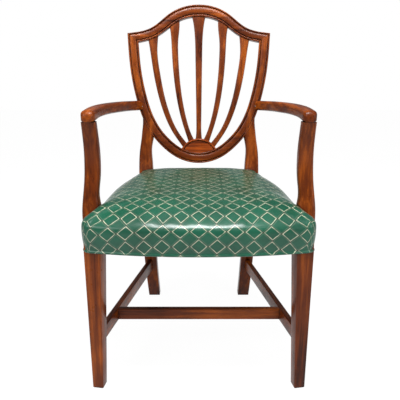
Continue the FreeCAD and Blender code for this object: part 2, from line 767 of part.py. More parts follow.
# The crest's top edge above each splat. The flared ends are placed down from it
OVER_CENTRE = SHIELD_TOP
OVER_INNER = SHIELD_SHOULDER + 0.79 * CREST_RISE
OVER_OUTER = SHIELD_SHOULDER + 0.28 * CREST_RISE
SPLAT_PATHS = {
    "centre": [
        (0.0, OVER_CENTRE - 26.5, 46.0),
        (0.0, OVER_CENTRE - 44.5, 37.0),
        (0.0, OVER_CENTRE - 66.5, 30.0),
        (0.0, OVER_CENTRE - 94.5, 25.0),
        (0.0, 340.0, 21.6),
        (0.0, 220.0, 18.2),
        (0.0, 130.0, 16.0),
        (0.0, 92.0, 17.5),
        (0.0, 72.0, 22.0),
    ],
    "inner": [
        (75.0, OVER_INNER - 26.0, 44.0),
        (75.6, OVER_INNER - 51.0, 31.0),
        (75.8, OVER_INNER - 78.0, 23.5),
        (75.0, 345.0, 19.8),
        (69.0, 262.0, 18.3),
        (56.8, 180.0, 16.8),
        (42.3, 122.0, 15.6),
        (31.5, 90.0, 16.0),
        (25.0, 74.0, 20.0),
    ],
    "outer": [
        (141.0, OVER_OUTER - 26.0, 42.0),
        (143.0, OVER_OUTER - 46.0, 32.0),
        (142.2, OVER_OUTER - 81.0, 22.6),
        (133.8, 290.0, 20.3),
        (118.5, 213.0, 18.6),
        (99.0, 150.0, 17.2),
        (76.9, 103.0, 16.0),
        (58.0, 75.0, 16.2),
        (48.0, 62.0, 18.0),
    ],
}


def splat_body(name):
    rows = SPLAT_PATHS[name]
    if name == "centre":
        tangents = [Vector(0, -1, 0)] * len(rows)
    else:
        curve = curve_through([(u, t) for u, t, width in rows])
        tangents = [Vector(*curve.tangent(parameter_near(curve, u, t))[0]) for u, t, width in rows]
    directed = [(row[0], row[1], row[2], way.x, way.y) for row, way in zip(rows, tangents)]
    sections = []
    for u, t, width, way_u, way_t in directed:
        sections.append(splat_section(u, t, Vector(way_u, way_t, 0).normalize(), width))
    return loft(sections)


def splat_tenon(name, top, grow=0.0, spare=0.0):
    """Tenon at the top or bottom end of a splat, thinner and narrower than the splat."""
    rows = SPLAT_PATHS[name]
    near, far = (rows[1], rows[0]) if top else (rows[-2], rows[-1])
    middle_depth = SPLAT_SETBACK + SPLAT_DEPTH / 2
    start = on_shield(near[0], near[1], middle_depth)
    end = on_shield(far[0], far[1], middle_depth)
    along = (end - start).normalize()
    up_depth = Vector(0, LEAN_COS, -LEAN_SIN)
    across = along.cross(up_depth).normalize()
    back = across.cross(along).normalize()
    width = rows[3][2] - SPLAT_TENON_SHOULDERS
    length = (end - start).Length + SPLAT_TENON_PAST_END
    return block(start, along, across, back, length, width, SPLAT_TENON_THICKNESS, grow, spare)


# Lunette
def lunette_disc(radius, front, thickness):
    """Round of wood about the lunette's centre, from a depth into the shield."""
    centre = on_shield(0.0, LUNETTE_CENTRE, front)
    return Part.makeCylinder(radius, thickness, centre, Vector(0, LEAN_COS, -LEAN_SIN))


def lunette_body():
    disc = lunette_disc(LUNETTE_RADIUS, LUNETTE_SETBACK, LUNETTE_THICKNESS)
    return disc.cut(lunette_disc(LUNETTE_RADIUS - LUNETTE_RIM, 0.0, LUNETTE_SETBACK + LUNETTE_RIM_RISE))


def upper_of(shape):
    return max(shape.Solids, key=lambda solid: solid.CenterOfMass.z)


def lunette_tenon(grow=0.0, spare=0.0):
    """Tongue from the lunette down into the bowl."""
    start = on_shield(0.0, LUNETTE_TENON_START, LUNETTE_SETBACK + LUNETTE_THICKNESS / 2 + 0.5)
    along = Vector(0, -LEAN_SIN, -LEAN_COS)
    back = Vector(0, LEAN_COS, -LEAN_SIN)
    return block(
        start, along, OUTWARD, back, LUNETTE_TENON_LENGTH, LUNETTE_TENON_WIDTH, SPLAT_TENON_THICKNESS, grow, spare
    )


# Arms
ARM_PATH = [
    Vector(186.0, 519.5, 674.0),
    Vector(202.5, 495.0, 675.0),
    Vector(222.0, 440.0, 678.5),
    Vector(SEAT_HALF_WIDTH - 33.7, 370.0, 682.0),
    Vector(SEAT_HALF_WIDTH - 17.2, 300.0, 684.5),
    Vector(SEAT_HALF_WIDTH - 6.2, 230.0, 685.5),
    Vector(SEAT_HALF_WIDTH - 3.2, 175.0, 685.0),
    Vector(SEAT_HALF_WIDTH - 3.7, 140.0, 684.0),
    Vector(SEAT_HALF_WIDTH - 4.2, 122.0, 683.5),
]
KNUCKLE_ROWS = ((6.0, 0.985, 0.97), (11.0, 0.93, 0.9), (15.0, 0.8, 0.76), (17.5, 0.6, 0.55))


def arm_section(centre, along, width, height):
    """Arm cross-section: a rounded oblong by formula, flatter below than on top."""
    across = along.cross(UP).normalize()
    up = across.cross(along).normalize()
    outline = []
    for index in range(ARM_SECTION_POINTS):
        angle = 2 * math.pi * (index + 0.5) / ARM_SECTION_POINTS
        x = math.copysign(abs(math.cos(angle)) ** ARM_SQUARENESS, math.cos(angle))
        z = math.copysign(abs(math.sin(angle)) ** ARM_SQUARENESS, math.sin(angle))
        if z < 0:
            x = math.copysign(min(abs(x) * ARM_UNDERSIDE_FULLNESS, 1.0), x)
        outline.append(centre + across * (x * width / 2) + up * (z * height / 2))
    return Part.makePolygon(outline + outline[:1])


def arm():
    """Arm sweeping out and forward from the post, with its rounded front end."""
    last = len(ARM_PATH) - 1
    sections = []
    for index, centre in enumerate(ARM_PATH):
        before = ARM_PATH[max(index - 1, 0)]
        after = ARM_PATH[min(index + 1, last)]
        along = Vector(after.x - before.x, after.y - before.y, 0).normalize()
        width = ARM_WIDTH_BACK + (ARM_WIDTH_FRONT - ARM_WIDTH_BACK) * math.sin(index / last * math.pi / 2)
        sections.append(arm_section(centre, along, width, ARM_HEIGHT))
    # Knuckle: how far past the path's end, and what share of the width and height is left there
    for reach, width_share, height_share in KNUCKLE_ROWS:
        width = ARM_WIDTH_FRONT * width_share
        height = ARM_HEIGHT * height_share
        centre = ARM_PATH[-1] + along * reach - UP * ((ARM_HEIGHT - height) / 2 * 0.9)
        sections.append(arm_section(centre, along, width, height))
    return loft(sections)


# Arm supports: height, middle x, middle y, width and depth
SUPPORT_ROWS = (
    (SUPPORT_BOTTOM, SEAT_HALF_WIDTH - 2.2, 117.0, 49.0, SUPPORT_DEPTH + 10.0),
    (415.0, SEAT_HALF_WIDTH - 1.7, 118.0, 49.0, SUPPORT_DEPTH + 7.0),
    (445.0, SEAT_HALF_WIDTH - 0.2, 121.0, 47.0, SUPPORT_DEPTH + 4.0),
    (480.0, SEAT_HALF_WIDTH + 1.3, 128.0, 39.5, SUPPORT_DEPTH),
    (520.0, SEAT_HALF_WIDTH - 2.2, 136.0, 38.5, SUPPORT_DEPTH),
    (560.0, SEAT_HALF_WIDTH - 4.2, 141.0, 38.5, SUPPORT_DEPTH),
    (600.0, SEAT_HALF_WIDTH - 4.7, 140.5, 37.5, SUPPORT_DEPTH - 0.5),
    (640.0, SEAT_HALF_WIDTH - 4.2, 134.0, 36.0, SUPPORT_DEPTH),
    (SUPPORT_TOP, SEAT_HALF_WIDTH - 3.7, 127.5, 35.0, SUPPORT_DEPTH + 1.0),
)


def support_loft(rows, grow):
    sections = []
    for z, x, y, width, depth in rows:
        half_width = width / 2 + grow
        half_depth = depth / 2 + grow
        corners = [
            Vector(x + half_width, y - half_depth, z),
            Vector(x + half_width, y + half_depth, z),
            Vector(x - half_width, y + half_depth, z),
            Vector(x - half_width, y - half_depth, z),
        ]
        sections.append(rounded_polygon(corners, SUPPORT_EDGE_RADIUS))
    return loft(sections)


def arm_support_body():
    return support_loft(SUPPORT_ROWS, 0.0)


def rail_side_cutter(inset):
    """All the space on the chair's side of the right side rail's outer face."""
    start = Vector(side_x(-200.0, inset), -200.0, RAIL_BOTTOM - 60.0)
    face = Part.makePolygon([
        start,
        start + LEG_BACK * 900.0,
        start + LEG_BACK * 900.0 + LEG_INWARD * 300.0,
        start + LEG_INWARD * 300.0,
        start,
    ])
    return Part.Face(face).extrude(UP * (RAIL_TOP - RAIL_BOTTOM + 60.0))


def support_dowel(grow=0.0, spare=0.0):
    """Faceted peg between the top of the right arm support and the underside of the arm."""
    foot = SUPPORT_TOP - SUPPORT_DOWEL_SUNK
    x = SUPPORT_ROWS[-1][1]
    y = SUPPORT_ROWS[-1][2] + 2.0
    length = SUPPORT_DOWEL_SUNK + SUPPORT_DOWEL_LENGTH
    outline = []
    for index in range(SUPPORT_DOWEL_SIDES):
        angle = 2 * math.pi * index / SUPPORT_DOWEL_SIDES
        radius = SUPPORT_DOWEL_RADIUS + grow
        outline.append(Vector(x + radius * math.cos(angle), y + radius * math.sin(angle), foot - spare))
    peg = Part.Face(Part.makePolygon(outline + outline[:1]))
    return peg.extrude(UP * (length + 2 * spare))


# Screws
def support_screws():
    """Two screws through the right side rail from inside, into the foot of the arm support."""
    screws = []
    for z in (RAIL_BOTTOM + 20.0, RAIL_TOP - 18.0):
        y = SUPPORT_ROWS[1][2]
        head = Vector(side_x(y, RAIL_THICKNESS - 2.0), y, z)
        screws.append((head, LEG_INWARD * -1, SUPPORT_SCREW_LENGTH))
    return screws


def arm_screws():
    """One screw through the right back post from inside the shield, into the arm."""
    head = on_shield(162.5, 181.0, MEMBER_DEPTH / 2)
    target = ARM_PATH[1] + Vector(2.0, -3.0, 0)
    direction = (target - head).normalize()
    return [(head, direction, ARM_SCREW_LENGTH)]


def screw_solids(rows):
    return [screw(head, direction, length) for head, direction, length in rows]


def screw_holes(rows):
    """Hole of each screw, with the counterbore that its head goes in by."""
    holes = []
    for head, direction, length in rows:
        bore = SCREW_HEAD_RADIUS + SCREW_HOLE_CLEARANCE
        counterbore = pin(head, direction, ((-COUNTERBORE_REACH, bore), (0.0, bore)), SCREW_SIDES)
        holes.append(screw(head, direction, length, SCREW_HOLE_CLEARANCE).fuse(counterbore).removeSplitter())
    return holes


# Corner blocks
def corner_block(corner, first, second, first_length, second_length):
    z = RAIL_BOTTOM + BLOCK_LIFT
    base = Vector(corner.x, corner.y, z)
    points = [
        base - first * BLOCK_SPARE - second * BLOCK_SPARE,
        base + first * first_length - second * BLOCK_SPARE,
        base + first * first_length,
        base + second * second_length,
        base + second * second_length - first * BLOCK_SPARE,
        base - first * BLOCK_SPARE - second * BLOCK_SPARE,
    ]
    return Part.Face(Part.makePolygon(points)).extrude(UP * BLOCK_HEIGHT)


def build():
    leg_blank = front_leg()
    post_blank = post_loft()

    side = shield_side()
    post_whole = post_blank.fuse(side).removeSplitter()

    bowl = shield_bowl()
    crest_blank = crest()
    arm_blank = arm()

    # Arm: housed in the side of the shield, so it stops inside the post
    limit_box = Part.makeBox(ARM_HOUSING_X, 400.0, 400.0, Vector(0, 300.0, 500.0))
    arm_piece = arm_blank.cut(limit_box)
    arm_piece = max(arm_piece.Solids, key=lambda solid: solid.Volume)
    post_piece = post_whole.cut(arm_piece)

    # Bowl joined to the posts by stub tenons
    joint_place = (OUTLINE.value(JOINT_RIGHT), Vector(*OUTLINE.tangent(JOINT_RIGHT)[0]))
    outer, inner = offset_place(joint_place, MEMBER_WIDTH, -1)
    middle = ((outer[0] + inner[0]) / 2, (outer[1] + inner[1]) / 2)
    tangent = joint_place[1]
    start = on_shield(middle[0] - tangent.x * 6.0, middle[1] - tangent.y * 6.0, MEMBER_DEPTH / 2 + 1.0)
    end = on_shield(middle[0] + tangent.x * 22.0, middle[1] + tangent.y * 22.0, MEMBER_DEPTH / 2 + 1.0)
    along = (end - start).normalize()
    back_axis = Vector(0, LEAN_COS, -LEAN_SIN)
    across = along.cross(back_axis).normalize()
    back_axis = across.cross(along).normalize()
    bowl_size = ((end - start).Length, BOWL_TENON_WIDTH, FRAME_TENON_THICKNESS)
    bowl_tenon = block(start, along, across, back_axis, *bowl_size)
    bowl_mortise = block(start, along, across, back_axis, *bowl_size, JOINT_CLEARANCE, MORTISE_SPARE_DEPTH)
    post_piece = post_piece.cut(bowl_mortise)
    bowl = bowl.cut(post_whole).cut(mirrored(post_whole))
    bowl = max(bowl.Solids, key=lambda solid: solid.Volume)

    # Crest joined to the posts by stub tenons across the mitre
    mitre_middle = (
        (SHIELD_HALF_WIDTH + SHOULDER_INNER[0]) / 2,
        (SHIELD_SHOULDER + SHOULDER_INNER[1]) / 2,
    )
    start = on_shield(mitre_middle[0] - 3.0, mitre_middle[1] + 10.0, MEMBER_DEPTH / 2 + 1.0)
    end = on_shield(mitre_middle[0] + 3.0, mitre_middle[1] - 26.0, MEMBER_DEPTH / 2 + 1.0)
    along = (end - start).normalize()
    across = along.cross(Vector(0, LEAN_COS, -LEAN_SIN)).normalize()
    back_axis = across.cross(along).normalize()
    crest_size = ((end - start).Length, CREST_TENON_WIDTH, FRAME_TENON_THICKNESS)
    crest_tenon = block(start, along, across, back_axis, *crest_size)
    crest_mortise = block(start, along, across, back_axis, *crest_size, JOINT_CLEARANCE, MORTISE_SPARE_DEPTH)
    post_piece = post_piece.cut(crest_mortise)
    crest_piece = crest_blank.fuse([crest_tenon, mirrored(crest_tenon)])

    # Lunette stands on the bowl
    lunette = upper_of(lunette_body().cut(bowl))
    bowl_piece = bowl.cut(lunette_tenon(JOINT_CLEARANCE, MORTISE_SPARE_DEPTH))
    bowl_piece = bowl_piece.fuse([bowl_tenon, mirrored(bowl_tenon)])
    lunette_piece = lunette.fuse(lunette_tenon())

    # Splats between the crest and the lunette
    splats = {}
    for name in SPLAT_PATHS:
        body = splat_body(name).cut(crest_blank).cut(lunette)
        body = max(body.Solids, key=lambda solid: solid.Volume)
        if name == "outer":
            body = max(body.cut(bowl).Solids, key=lambda solid: solid.Volume)
        body = body.fuse([splat_tenon(name, True), splat_tenon(name, False)])
        splats[name] = body
        for top in (True, False):
            hole = splat_tenon(name, top, JOINT_CLEARANCE, MORTISE_SPARE_DEPTH)
            holes = [hole] if name == "centre" else [hole, mirrored(hole)]
            for each in holes:
                if top:
                    crest_piece = crest_piece.cut(each)
                else:
                    lunette_piece = lunette_piece.cut(each)
                    bowl_piece = bowl_piece.cut(each)
    pieces["splat_centre"] = splats["centre"]
    keep_pair("splat_inner", splats["inner"])
    keep_pair("splat_outer", splats["outer"])

    # Seat frame
    rail_front = front_rail()
    rail_side = side_rail(post_blank)
    rail_rear = rear_rail(post_blank)
    leg_piece = leg_blank.cut(front_rail_tenon(JOINT_CLEARANCE, MORTISE_SPARE_DEPTH))
    leg_piece = leg_piece.cut(side_rail_front_tenon(JOINT_CLEARANCE, MORTISE_SPARE_DEPTH))
    post_piece = post_piece.cut(side_rail_rear_tenon(JOINT_CLEARANCE, MORTISE_SPARE_DEPTH))
    post_piece = post_piece.cut(rear_rail_tenon(JOINT_CLEARANCE, MORTISE_SPARE_DEPTH))

    # Stretchers
    stretcher = side_stretcher(leg_blank, post_blank)
    cross = cross_stretcher()
    stretcher_piece = stretcher.cut(cross_tenon(JOINT_CLEARANCE, MORTISE_SPARE_DEPTH))
    leg_piece = leg_piece.cut(
        stretcher_tenon(stretcher_front_y(), -1, JOINT_CLEARANCE, MORTISE_SPARE_DEPTH)
    )
    post_piece = post_piece.cut(
        stretcher_tenon(stretcher_rear_y(), 1, JOINT_CLEARANCE, MORTISE_SPARE_DEPTH)
    )

    # Arm supports
    support = arm_support_body().cut(rail_side_cutter(0.0))
    support = max(support.Solids, key=lambda solid: solid.Volume)
    support = support.cut(support_dowel(JOINT_CLEARANCE, MORTISE_SPARE_DEPTH))
    support = support.cut(arm_piece)
    support = max(support.Solids, key=lambda solid: solid.Volume)
    arm_piece = arm_piece.cut(support_dowel(JOINT_CLEARANCE, MORTISE_SPARE_DEPTH))
    keep_pair("arm_support_dowel", support_dowel())

    # Corner blocks
    front_corner = Vector(side_x(20.0, RAIL_THICKNESS), 20.0, 0)
    front_block = corner_block(front_corner, LEG_INWARD, LEG_BACK, BLOCK_LEG, BLOCK_LEG)
    front_block = front_block.cut(front_rail_ring(JOINT_CLEARANCE)).cut(rail_side).cut(leg_blank)
    front_block = max(front_block.Solids, key=lambda solid: solid.Volume)
    rear_y = POST_BACK - REAR_RAIL_THICKNESS
    rear_corner = Vector(side_x(rear_y, RAIL_THICKNESS), rear_y, 0)
    rear_block = corner_block(rear_corner, OUTWARD * -1, LEG_BACK * -1, BLOCK_LEG, BLOCK_LEG)
    rear_block = rear_block.cut(rail_rear).cut(rail_side).cut(post_blank)
    rear_block = max(rear_block.Solids, key=lambda solid: solid.Volume)

    # Screws and their holes
    support_rows = support_screws()
    for hole in screw_holes(support_rows):
        rail_side = rail_side.cut(hole)
        support = support.cut(hole)
    arm_rows = arm_screws()
    for hole in screw_holes(arm_rows):
        post_piece = post_piece.cut(hole)
        arm_piece = arm_piece.cut(hole)
    for name, rows in (("arm_support_screws", support_rows), ("arm_screws", arm_rows)):
        solids = screw_solids(rows)
        solids += [mirrored(solid) for solid in solids]
        pieces[name] = Part.Compound(solids)

    keep_pair("front_leg", leg_piece)
    keep_pair("back_post", post_piece)
    keep_pair("arm", arm_piece)
    keep_pair("arm_support", support)
    keep_pair("side_seat_rail", rail_side)
    keep_pair("side_stretcher", stretcher_piece)
    keep_pair("front_corner_block", front_block)
    keep_pair("rear_corner_block", rear_block)
    pieces["front_seat_rail"] = rail_front
    pieces["rear_seat_rail"] = rail_rear
    pieces["cross_stretcher"] = cross
    pieces["crest_rail"] = crest_piece
    pieces["shield_bowl_rail"] = bowl_piece
    pieces["lunette"] = lunette_piece

    upholstery(leg_blank, post_blank, support)


def upholstery(leg_blank, post_blank, support):
    """Webbing, hessian, stuffing, cover and bottom cloth, from the rails outwards."""
    frame_plan = seat_prism(0.0, RAIL_BOTTOM - 20.0, RAIL_TOP + 60.0, POST_BACK)
    strap_plan = seat_prism(-WEB_EDGE_MARGIN, RAIL_TOP - 5.0, RAIL_TOP + 20.0, POST_BACK - WEB_EDGE_MARGIN)
    inner_post = POST_OUTER - POST_WIDTH_SEAT
    post_space = post_loft(SOFT_CLEARANCE)
    behind_post = Part.makeBox(
        300.0, 300.0, 400.0, Vector(inner_post - SOFT_CLEARANCE, POST_FRONT + POST_DEPTH_SEAT / 2, 300.0)
    )
    outside_post = Part.makeBox(
        300.0, 300.0, 400.0, Vector(POST_OUTER - 6.0, POST_FRONT - SOFT_CLEARANCE, 300.0)
    )
    post_space = post_space.fuse([behind_post, outside_post])
    post_spaces = [post_space, mirrored(post_space)]

    # Webbing in two layers, tacked on top of the rails. The lengthwise straps pass between the posts
    lengthwise = []
    half_space = inner_post - WEB_POST_MARGIN
    width = min(WEB_WIDTH, half_space * WEB_SHARE)
    pitch = (half_space - width / 2) / 1.5
    for index in range(4):
        x = (index - 1.5) * pitch
        strap = Part.makeBox(width, 800.0, WEB_THICKNESS, Vector(x - width / 2, -200.0, RAIL_TOP))
        lengthwise.append(strap.common(strap_plan))
    crosswise = []
    for index in range(4):
        y = 62.0 + index * 100.0
        strap = Part.makeBox(
            2 * SEAT_HALF_WIDTH, WEB_WIDTH, WEB_THICKNESS,
            Vector(-SEAT_HALF_WIDTH, y - WEB_WIDTH / 2, RAIL_TOP + WEB_THICKNESS),
        )
        crosswise.append(strap.common(strap_plan))
    pieces["webbing_front_to_back"] = Part.Compound(lengthwise)
    pieces["webbing_side_to_side"] = Part.Compound(crosswise)

    hessian_bottom = RAIL_TOP + 2 * WEB_THICKNESS
    hessian_top = hessian_bottom + HESSIAN_THICKNESS
    hessian = seat_prism(
        -HESSIAN_MARGIN, hessian_bottom, hessian_top, POST_BACK - HESSIAN_MARGIN, COVERED_LEG_RADIUS
    )
    for space in post_spaces:
        hessian = hessian.cut(space)
    pieces["hessian"] = max(hessian.Solids, key=lambda solid: solid.Volume)

    stuffing_floor = hessian_bottom + HESSIAN_THICKNESS
    outer_form = seat_form(SEAT_ROWS, 0.0)
    inner_form = seat_form(STUFFING_ROWS, COVER_THICKNESS)
    stuffing_form = seat_form(STUFFING_ROWS, COVER_THICKNESS + SOFT_CLEARANCE)

    foot = SUPPORT_ROWS[0]
    lowered = (foot[0] - SOFT_CLEARANCE,) + foot[1:]
    support_space = support_loft((lowered,) + SUPPORT_ROWS[1:5], SOFT_CLEARANCE)
    support_spaces = [support_space, mirrored(support_space)]

    core = seat_prism(SOFT_CLEARANCE, RAIL_BOTTOM - 20.0, stuffing_floor, POST_BACK + SOFT_CLEARANCE)
    below = seat_prism(40.0, RAIL_BOTTOM - 20.0, RAIL_BOTTOM + 2.0, POST_BACK + 40.0)
    stuffing = stuffing_form.cut(core).cut(below)
    for space in post_spaces + support_spaces:
        stuffing = stuffing.cut(space)
    pieces["seat_stuffing"] = max(stuffing.Solids, key=lambda solid: solid.Volume)

    flange_top = COVER_BOTTOM + COVER_THICKNESS
    above_flange = Part.makeBox(900.0, 900.0, 300.0, Vector(-450.0, -200.0, flange_top))
    cavity = inner_form.common(above_flange)
    opening = seat_prism(-HEM_TURN_UNDER, COVER_BOTTOM - 5.0, flange_top + 5.0, POST_BACK - HEM_TURN_UNDER)
    cover = outer_form.cut(cavity).cut(opening)
    leg_block = loft([grown_leg_section(COVER_BOTTOM - 5.0), grown_leg_section(flange_top + SOFT_CLEARANCE)])
    leg_space = leg_block.common(
        seat_prism(SOFT_CLEARANCE, COVER_BOTTOM - 5.0, RAIL_TOP, POST_BACK, COVERED_LEG_RADIUS)
    )
    for space in post_spaces + support_spaces + [leg_space, mirrored(leg_space)]:
        cover = cover.cut(space)
    pieces["seat_cover"] = max(cover.Solids, key=lambda solid: solid.Volume)

    cloth = seat_prism(
        -BOTTOM_CLOTH_INSET, COVER_BOTTOM - BOTTOM_CLOTH_THICKNESS, COVER_BOTTOM, POST_BACK - BOTTOM_CLOTH_INSET
    )
    for space in post_spaces + [leg_block, mirrored(leg_block)]:
        cloth = cloth.cut(space)
    pieces["bottom_cloth"] = max(cloth.Solids, key=lambda solid: solid.Volume)


def grown_leg_section(z):
    corner = Vector(SEAT_HALF_WIDTH, 0, z) - LEG_INWARD * SOFT_CLEARANCE - LEG_BACK * SOFT_CLEARANCE
    width = LEG_WIDTH_TOP + 2 * SOFT_CLEARANCE
    points = [
        corner,
        corner + LEG_BACK * width,
        corner + LEG_INWARD * width + LEG_BACK * width,
        corner + LEG_INWARD * width,
        corner,
    ]
    return Part.makePolygon(points)


def centre_and_write():
    """Put the origin under the middle of the chair, then write each piece."""
    box = Part.Compound(list(pieces.values())).optimalBoundingBox(False, False)
    shift = Vector(-(box.XMin + box.XMax) / 2, -(box.YMin + box.YMax) / 2, -box.ZMin)
    os.makedirs("parts", exist_ok=True)
    for name, shape in pieces.items():
        placed = shape.copy()
        placed.translate(shift)
        placed.exportStep("parts/" + name + ".step")
    print("shift", round(shift.x, 3), round(shift.y, 3), round(shift.z, 3))
    print("size", round(box.XLength, 1), round(box.YLength, 1), round(box.ZLength, 1))


build()
for name, shape in sorted(pieces.items()):
    print(name, len(shape.Solids), shape.isValid(), round(shape.Volume / 1000, 2))
centre_and_write()
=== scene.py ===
"""Visible pieces of a mahogany shield back armchair, built round its fixed frame."""

import math

import bmesh
import bpy
from bpy.props import FloatProperty, FloatVectorProperty, IntProperty, PointerProperty
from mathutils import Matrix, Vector, noise


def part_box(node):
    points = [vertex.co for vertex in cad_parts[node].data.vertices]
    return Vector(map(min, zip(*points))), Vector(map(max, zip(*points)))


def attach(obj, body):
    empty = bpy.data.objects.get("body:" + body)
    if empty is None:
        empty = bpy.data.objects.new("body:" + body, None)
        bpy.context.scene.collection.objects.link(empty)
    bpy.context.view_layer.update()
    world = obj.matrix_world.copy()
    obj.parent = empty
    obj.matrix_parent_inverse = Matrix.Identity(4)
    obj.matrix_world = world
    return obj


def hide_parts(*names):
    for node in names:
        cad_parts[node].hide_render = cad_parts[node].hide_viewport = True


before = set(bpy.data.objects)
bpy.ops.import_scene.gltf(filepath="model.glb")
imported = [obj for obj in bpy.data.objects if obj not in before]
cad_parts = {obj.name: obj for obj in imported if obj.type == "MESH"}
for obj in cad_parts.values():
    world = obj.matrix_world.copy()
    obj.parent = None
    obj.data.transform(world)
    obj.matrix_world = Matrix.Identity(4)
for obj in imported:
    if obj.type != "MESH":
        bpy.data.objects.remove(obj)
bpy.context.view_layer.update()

bl_info = {
    "name": "Shield Back Armchair",
    "version": (1, 0, 0),
    "blender": (4, 5, 0),
    "location": "View3D > Sidebar > Armchair",
    "description": "Builds the shield back, arms, legs and stuffed seat of an armchair",
    "category": "Add Mesh",
}

MM = 0.001
# Millimetres are counted from the floor below the front outer corners of the front legs
CROSS_FRONT = 138.0
FRONT_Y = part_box("cross_stretcher")[0].y - CROSS_FRONT * MM

# Shield: half width and height of its shoulders, its lean, and where its lowest point stands
SHIELD_HALF = 223.5
SHOULDER = 406.5
LEAN = math.radians(10.2)
SHIELD_Y = 470.0
SHIELD_Z = 495.0
# Beads and band of the moulding spring from this far below its face
BEAD_DROP = 3.4
# Seat: splay of its sides, half width and bow of its front, its underside, and the top of its rails
SPLAY = math.radians(10.0)
SEAT_HALF = 273.7
SEAT_BOW = 29.0
SEAT_UNDER = 377.0
RAIL_TOP = 445.0
# Back posts: front and back faces above the knee, and how far they rake back below it
POST_FRONT = 461.0
POST_BACK = 497.0
KNEE = 370.0
RAKE = 62.0
POST_OUTER = SEAT_HALF - POST_FRONT * math.tan(SPLAY)
# Stretchers: middle height, slope of the side ones across the chair, and height of the cross one
STRETCHER_Z = 136.0
STRETCHER_SLOPE = math.tan(math.radians(10.6))
CROSS_HEIGHT = 32.0

OUTLINE_RIGHT = (
    (0.0, 0.0), (68.5, 16.7), (119.9, 55.4), (144.5, 83.0), (179.8, 146.0), (199.0, 207.0), (215.0, 290.0),
    (SHIELD_HALF, SHOULDER),
)
OUTLINE = [(-u, t) for u, t in reversed(OUTLINE_RIGHT[1:])] + list(OUTLINE_RIGHT)
# The bowl meets the posts this many places from the middle of the outline
JOINT = 3
SHOULDER_INNER = (SHIELD_HALF - 34.0, SHOULDER - 26.0)
CREST_RIGHT = ((190.0, 411.5), (160.0, 420.0), (130.0, 437.8), (98.5, 464.0), (60.0, 485.6), (0.0, 496.5))
CREST = list(CREST_RIGHT) + [(-u, t) for u, t in reversed(CREST_RIGHT[:-1])]

# Splats: across, up the lean and width, from the crest down
SPLATS = {
    "splat_centre": (
        (0.0, 468.0, 46.0), (0.0, 450.0, 37.0), (0.0, 428.0, 30.0),
        (0.0, 400.0, 25.0), (0.0, 340.0, 21.6), (0.0, 220.0, 18.2),
        (0.0, 130.0, 16.0), (0.0, 92.0, 17.5), (0.0, 72.0, 22.0),
    ),
    "splat_inner": (
        (78.5, 450.0, 37.0), (75.8, 425.0, 30.0), (75.8, 398.0, 23.5),
        (75.0, 345.0, 19.8), (69.0, 262.0, 18.3), (56.8, 180.0, 16.8),
        (42.3, 122.0, 15.6), (31.5, 90.0, 16.4), (22.6, 68.0, 20.0),
    ),
    "splat_outer": (
        (144.5, 405.0, 35.0), (143.6, 385.0, 29.0), (141.6, 350.0, 22.0),
        (133.8, 290.0, 20.3), (118.5, 213.0, 18.6), (99.0, 150.0, 17.2),
        (76.9, 103.0, 16.0), (58.0, 75.0, 16.2), (42.5, 55.0, 18.0),
    ),
}

# Post neck: up the lean, outer edge, width and depth
NECK = (
    (8.0, 193.0, 41.5, 31.0), (45.0, 190.0, 37.5, 26.0), (78.0, 185.0, 38.5, 22.5),
    (105.0, 182.0, 38.0, 21.0), (130.0, 179.5, 30.0, 21.0), (152.0, 180.5, 24.0, 21.0),
)
# Arm: middle across, back and up, from the post to the start of the knuckle
ARM_PATH = (
    (186.0, 519.5, 674.0), (202.5, 495.0, 675.0), (222.0, 440.0, 678.5), (240.0, 370.0, 682.0),
    (256.5, 300.0, 684.5), (267.5, 230.0, 685.5), (270.5, 175.0, 685.0), (270.0, 140.0, 684.0),
    (269.5, 122.0, 683.5),
)
# Arm support: height, middle across, middle from the front, width and depth
SUPPORT = (
    (387.0, 271.5, 117.0, 49.0, 44.0), (415.0, 272.0, 118.0, 49.0, 41.0), (445.0, 273.5, 121.0, 47.0, 38.0),
    (480.0, 275.0, 128.0, 39.5, 34.0), (520.0, 271.5, 136.0, 38.5, 34.0), (560.0, 269.5, 141.0, 38.5, 34.0),
    (600.0, 269.0, 140.5, 37.5, 33.5), (640.0, 269.5, 134.0, 36.0, 34.0), (669.0, 270.0, 127.5, 35.0, 35.0),
)
# Cover: height, then how far it stands out from the front rail and from the side rails, hem to crown
COVER_ROWS = (
    (384.0, -19.0, -19.0), (377.4, -17.0, -17.0), (376.9, -8.0, -8.0), (376.8, 0.5, 0.5), (377.2, 4.2, 4.2),
    (378.6, 5.9, 5.9), (380.6, 6.3, 6.3), (382.6, 5.6, 5.6), (384.0, 4.2, 4.2), (386.0, 3.6, 3.5),
    (392.0, 4.6, 4.3), (403.0, 5.9, 5.3), (416.0, 6.6, 6.0), (429.0, 6.4, 6.4), (439.0, 5.4, 6.4),
    (447.0, 3.2, 6.0), (453.0, -2.4, 4.8), (458.5, -11.0, 2.2), (463.5, -22.0, -2.5), (468.3, -36.0, -10.0),
    (472.8, -53.0, -21.0), (477.0, -73.0, -36.0), (480.8, -96.0, -56.0), (484.0, -122.0, -82.0),
    (486.0, -146.0, -104.0),
)
# The first rows of the cover are its turned hem, and at a later one its sides fold onto its top
HEM_ROWS = 10
FOLD_ROW = 18
# Rows on top of the cover, as shares of the way out from its middle, and how far they rise
CROWN_SHARES = (0.86, 0.72, 0.58, 0.45, 0.33, 0.22, 0.12, 0.05, 0.004)
CROWN_RISE = 2.6
COVER_MIDDLE = Vector((0.0, 262.0))
# Sides of the cover: how far they bulge, at which height, and over how much of it
BULGE = 11.0
BULGE_Z = 456.0
BULGE_REACH = 34.0
# Cloth under the seat: its height at the edge, how far it sags, its middle, and the tacks' pitch
UNDER_Z = 376.4
UNDER_SAG = 3.0
UNDER_MIDDLE = Vector((0.0, 235.0))
TACK_PITCH = 42.0

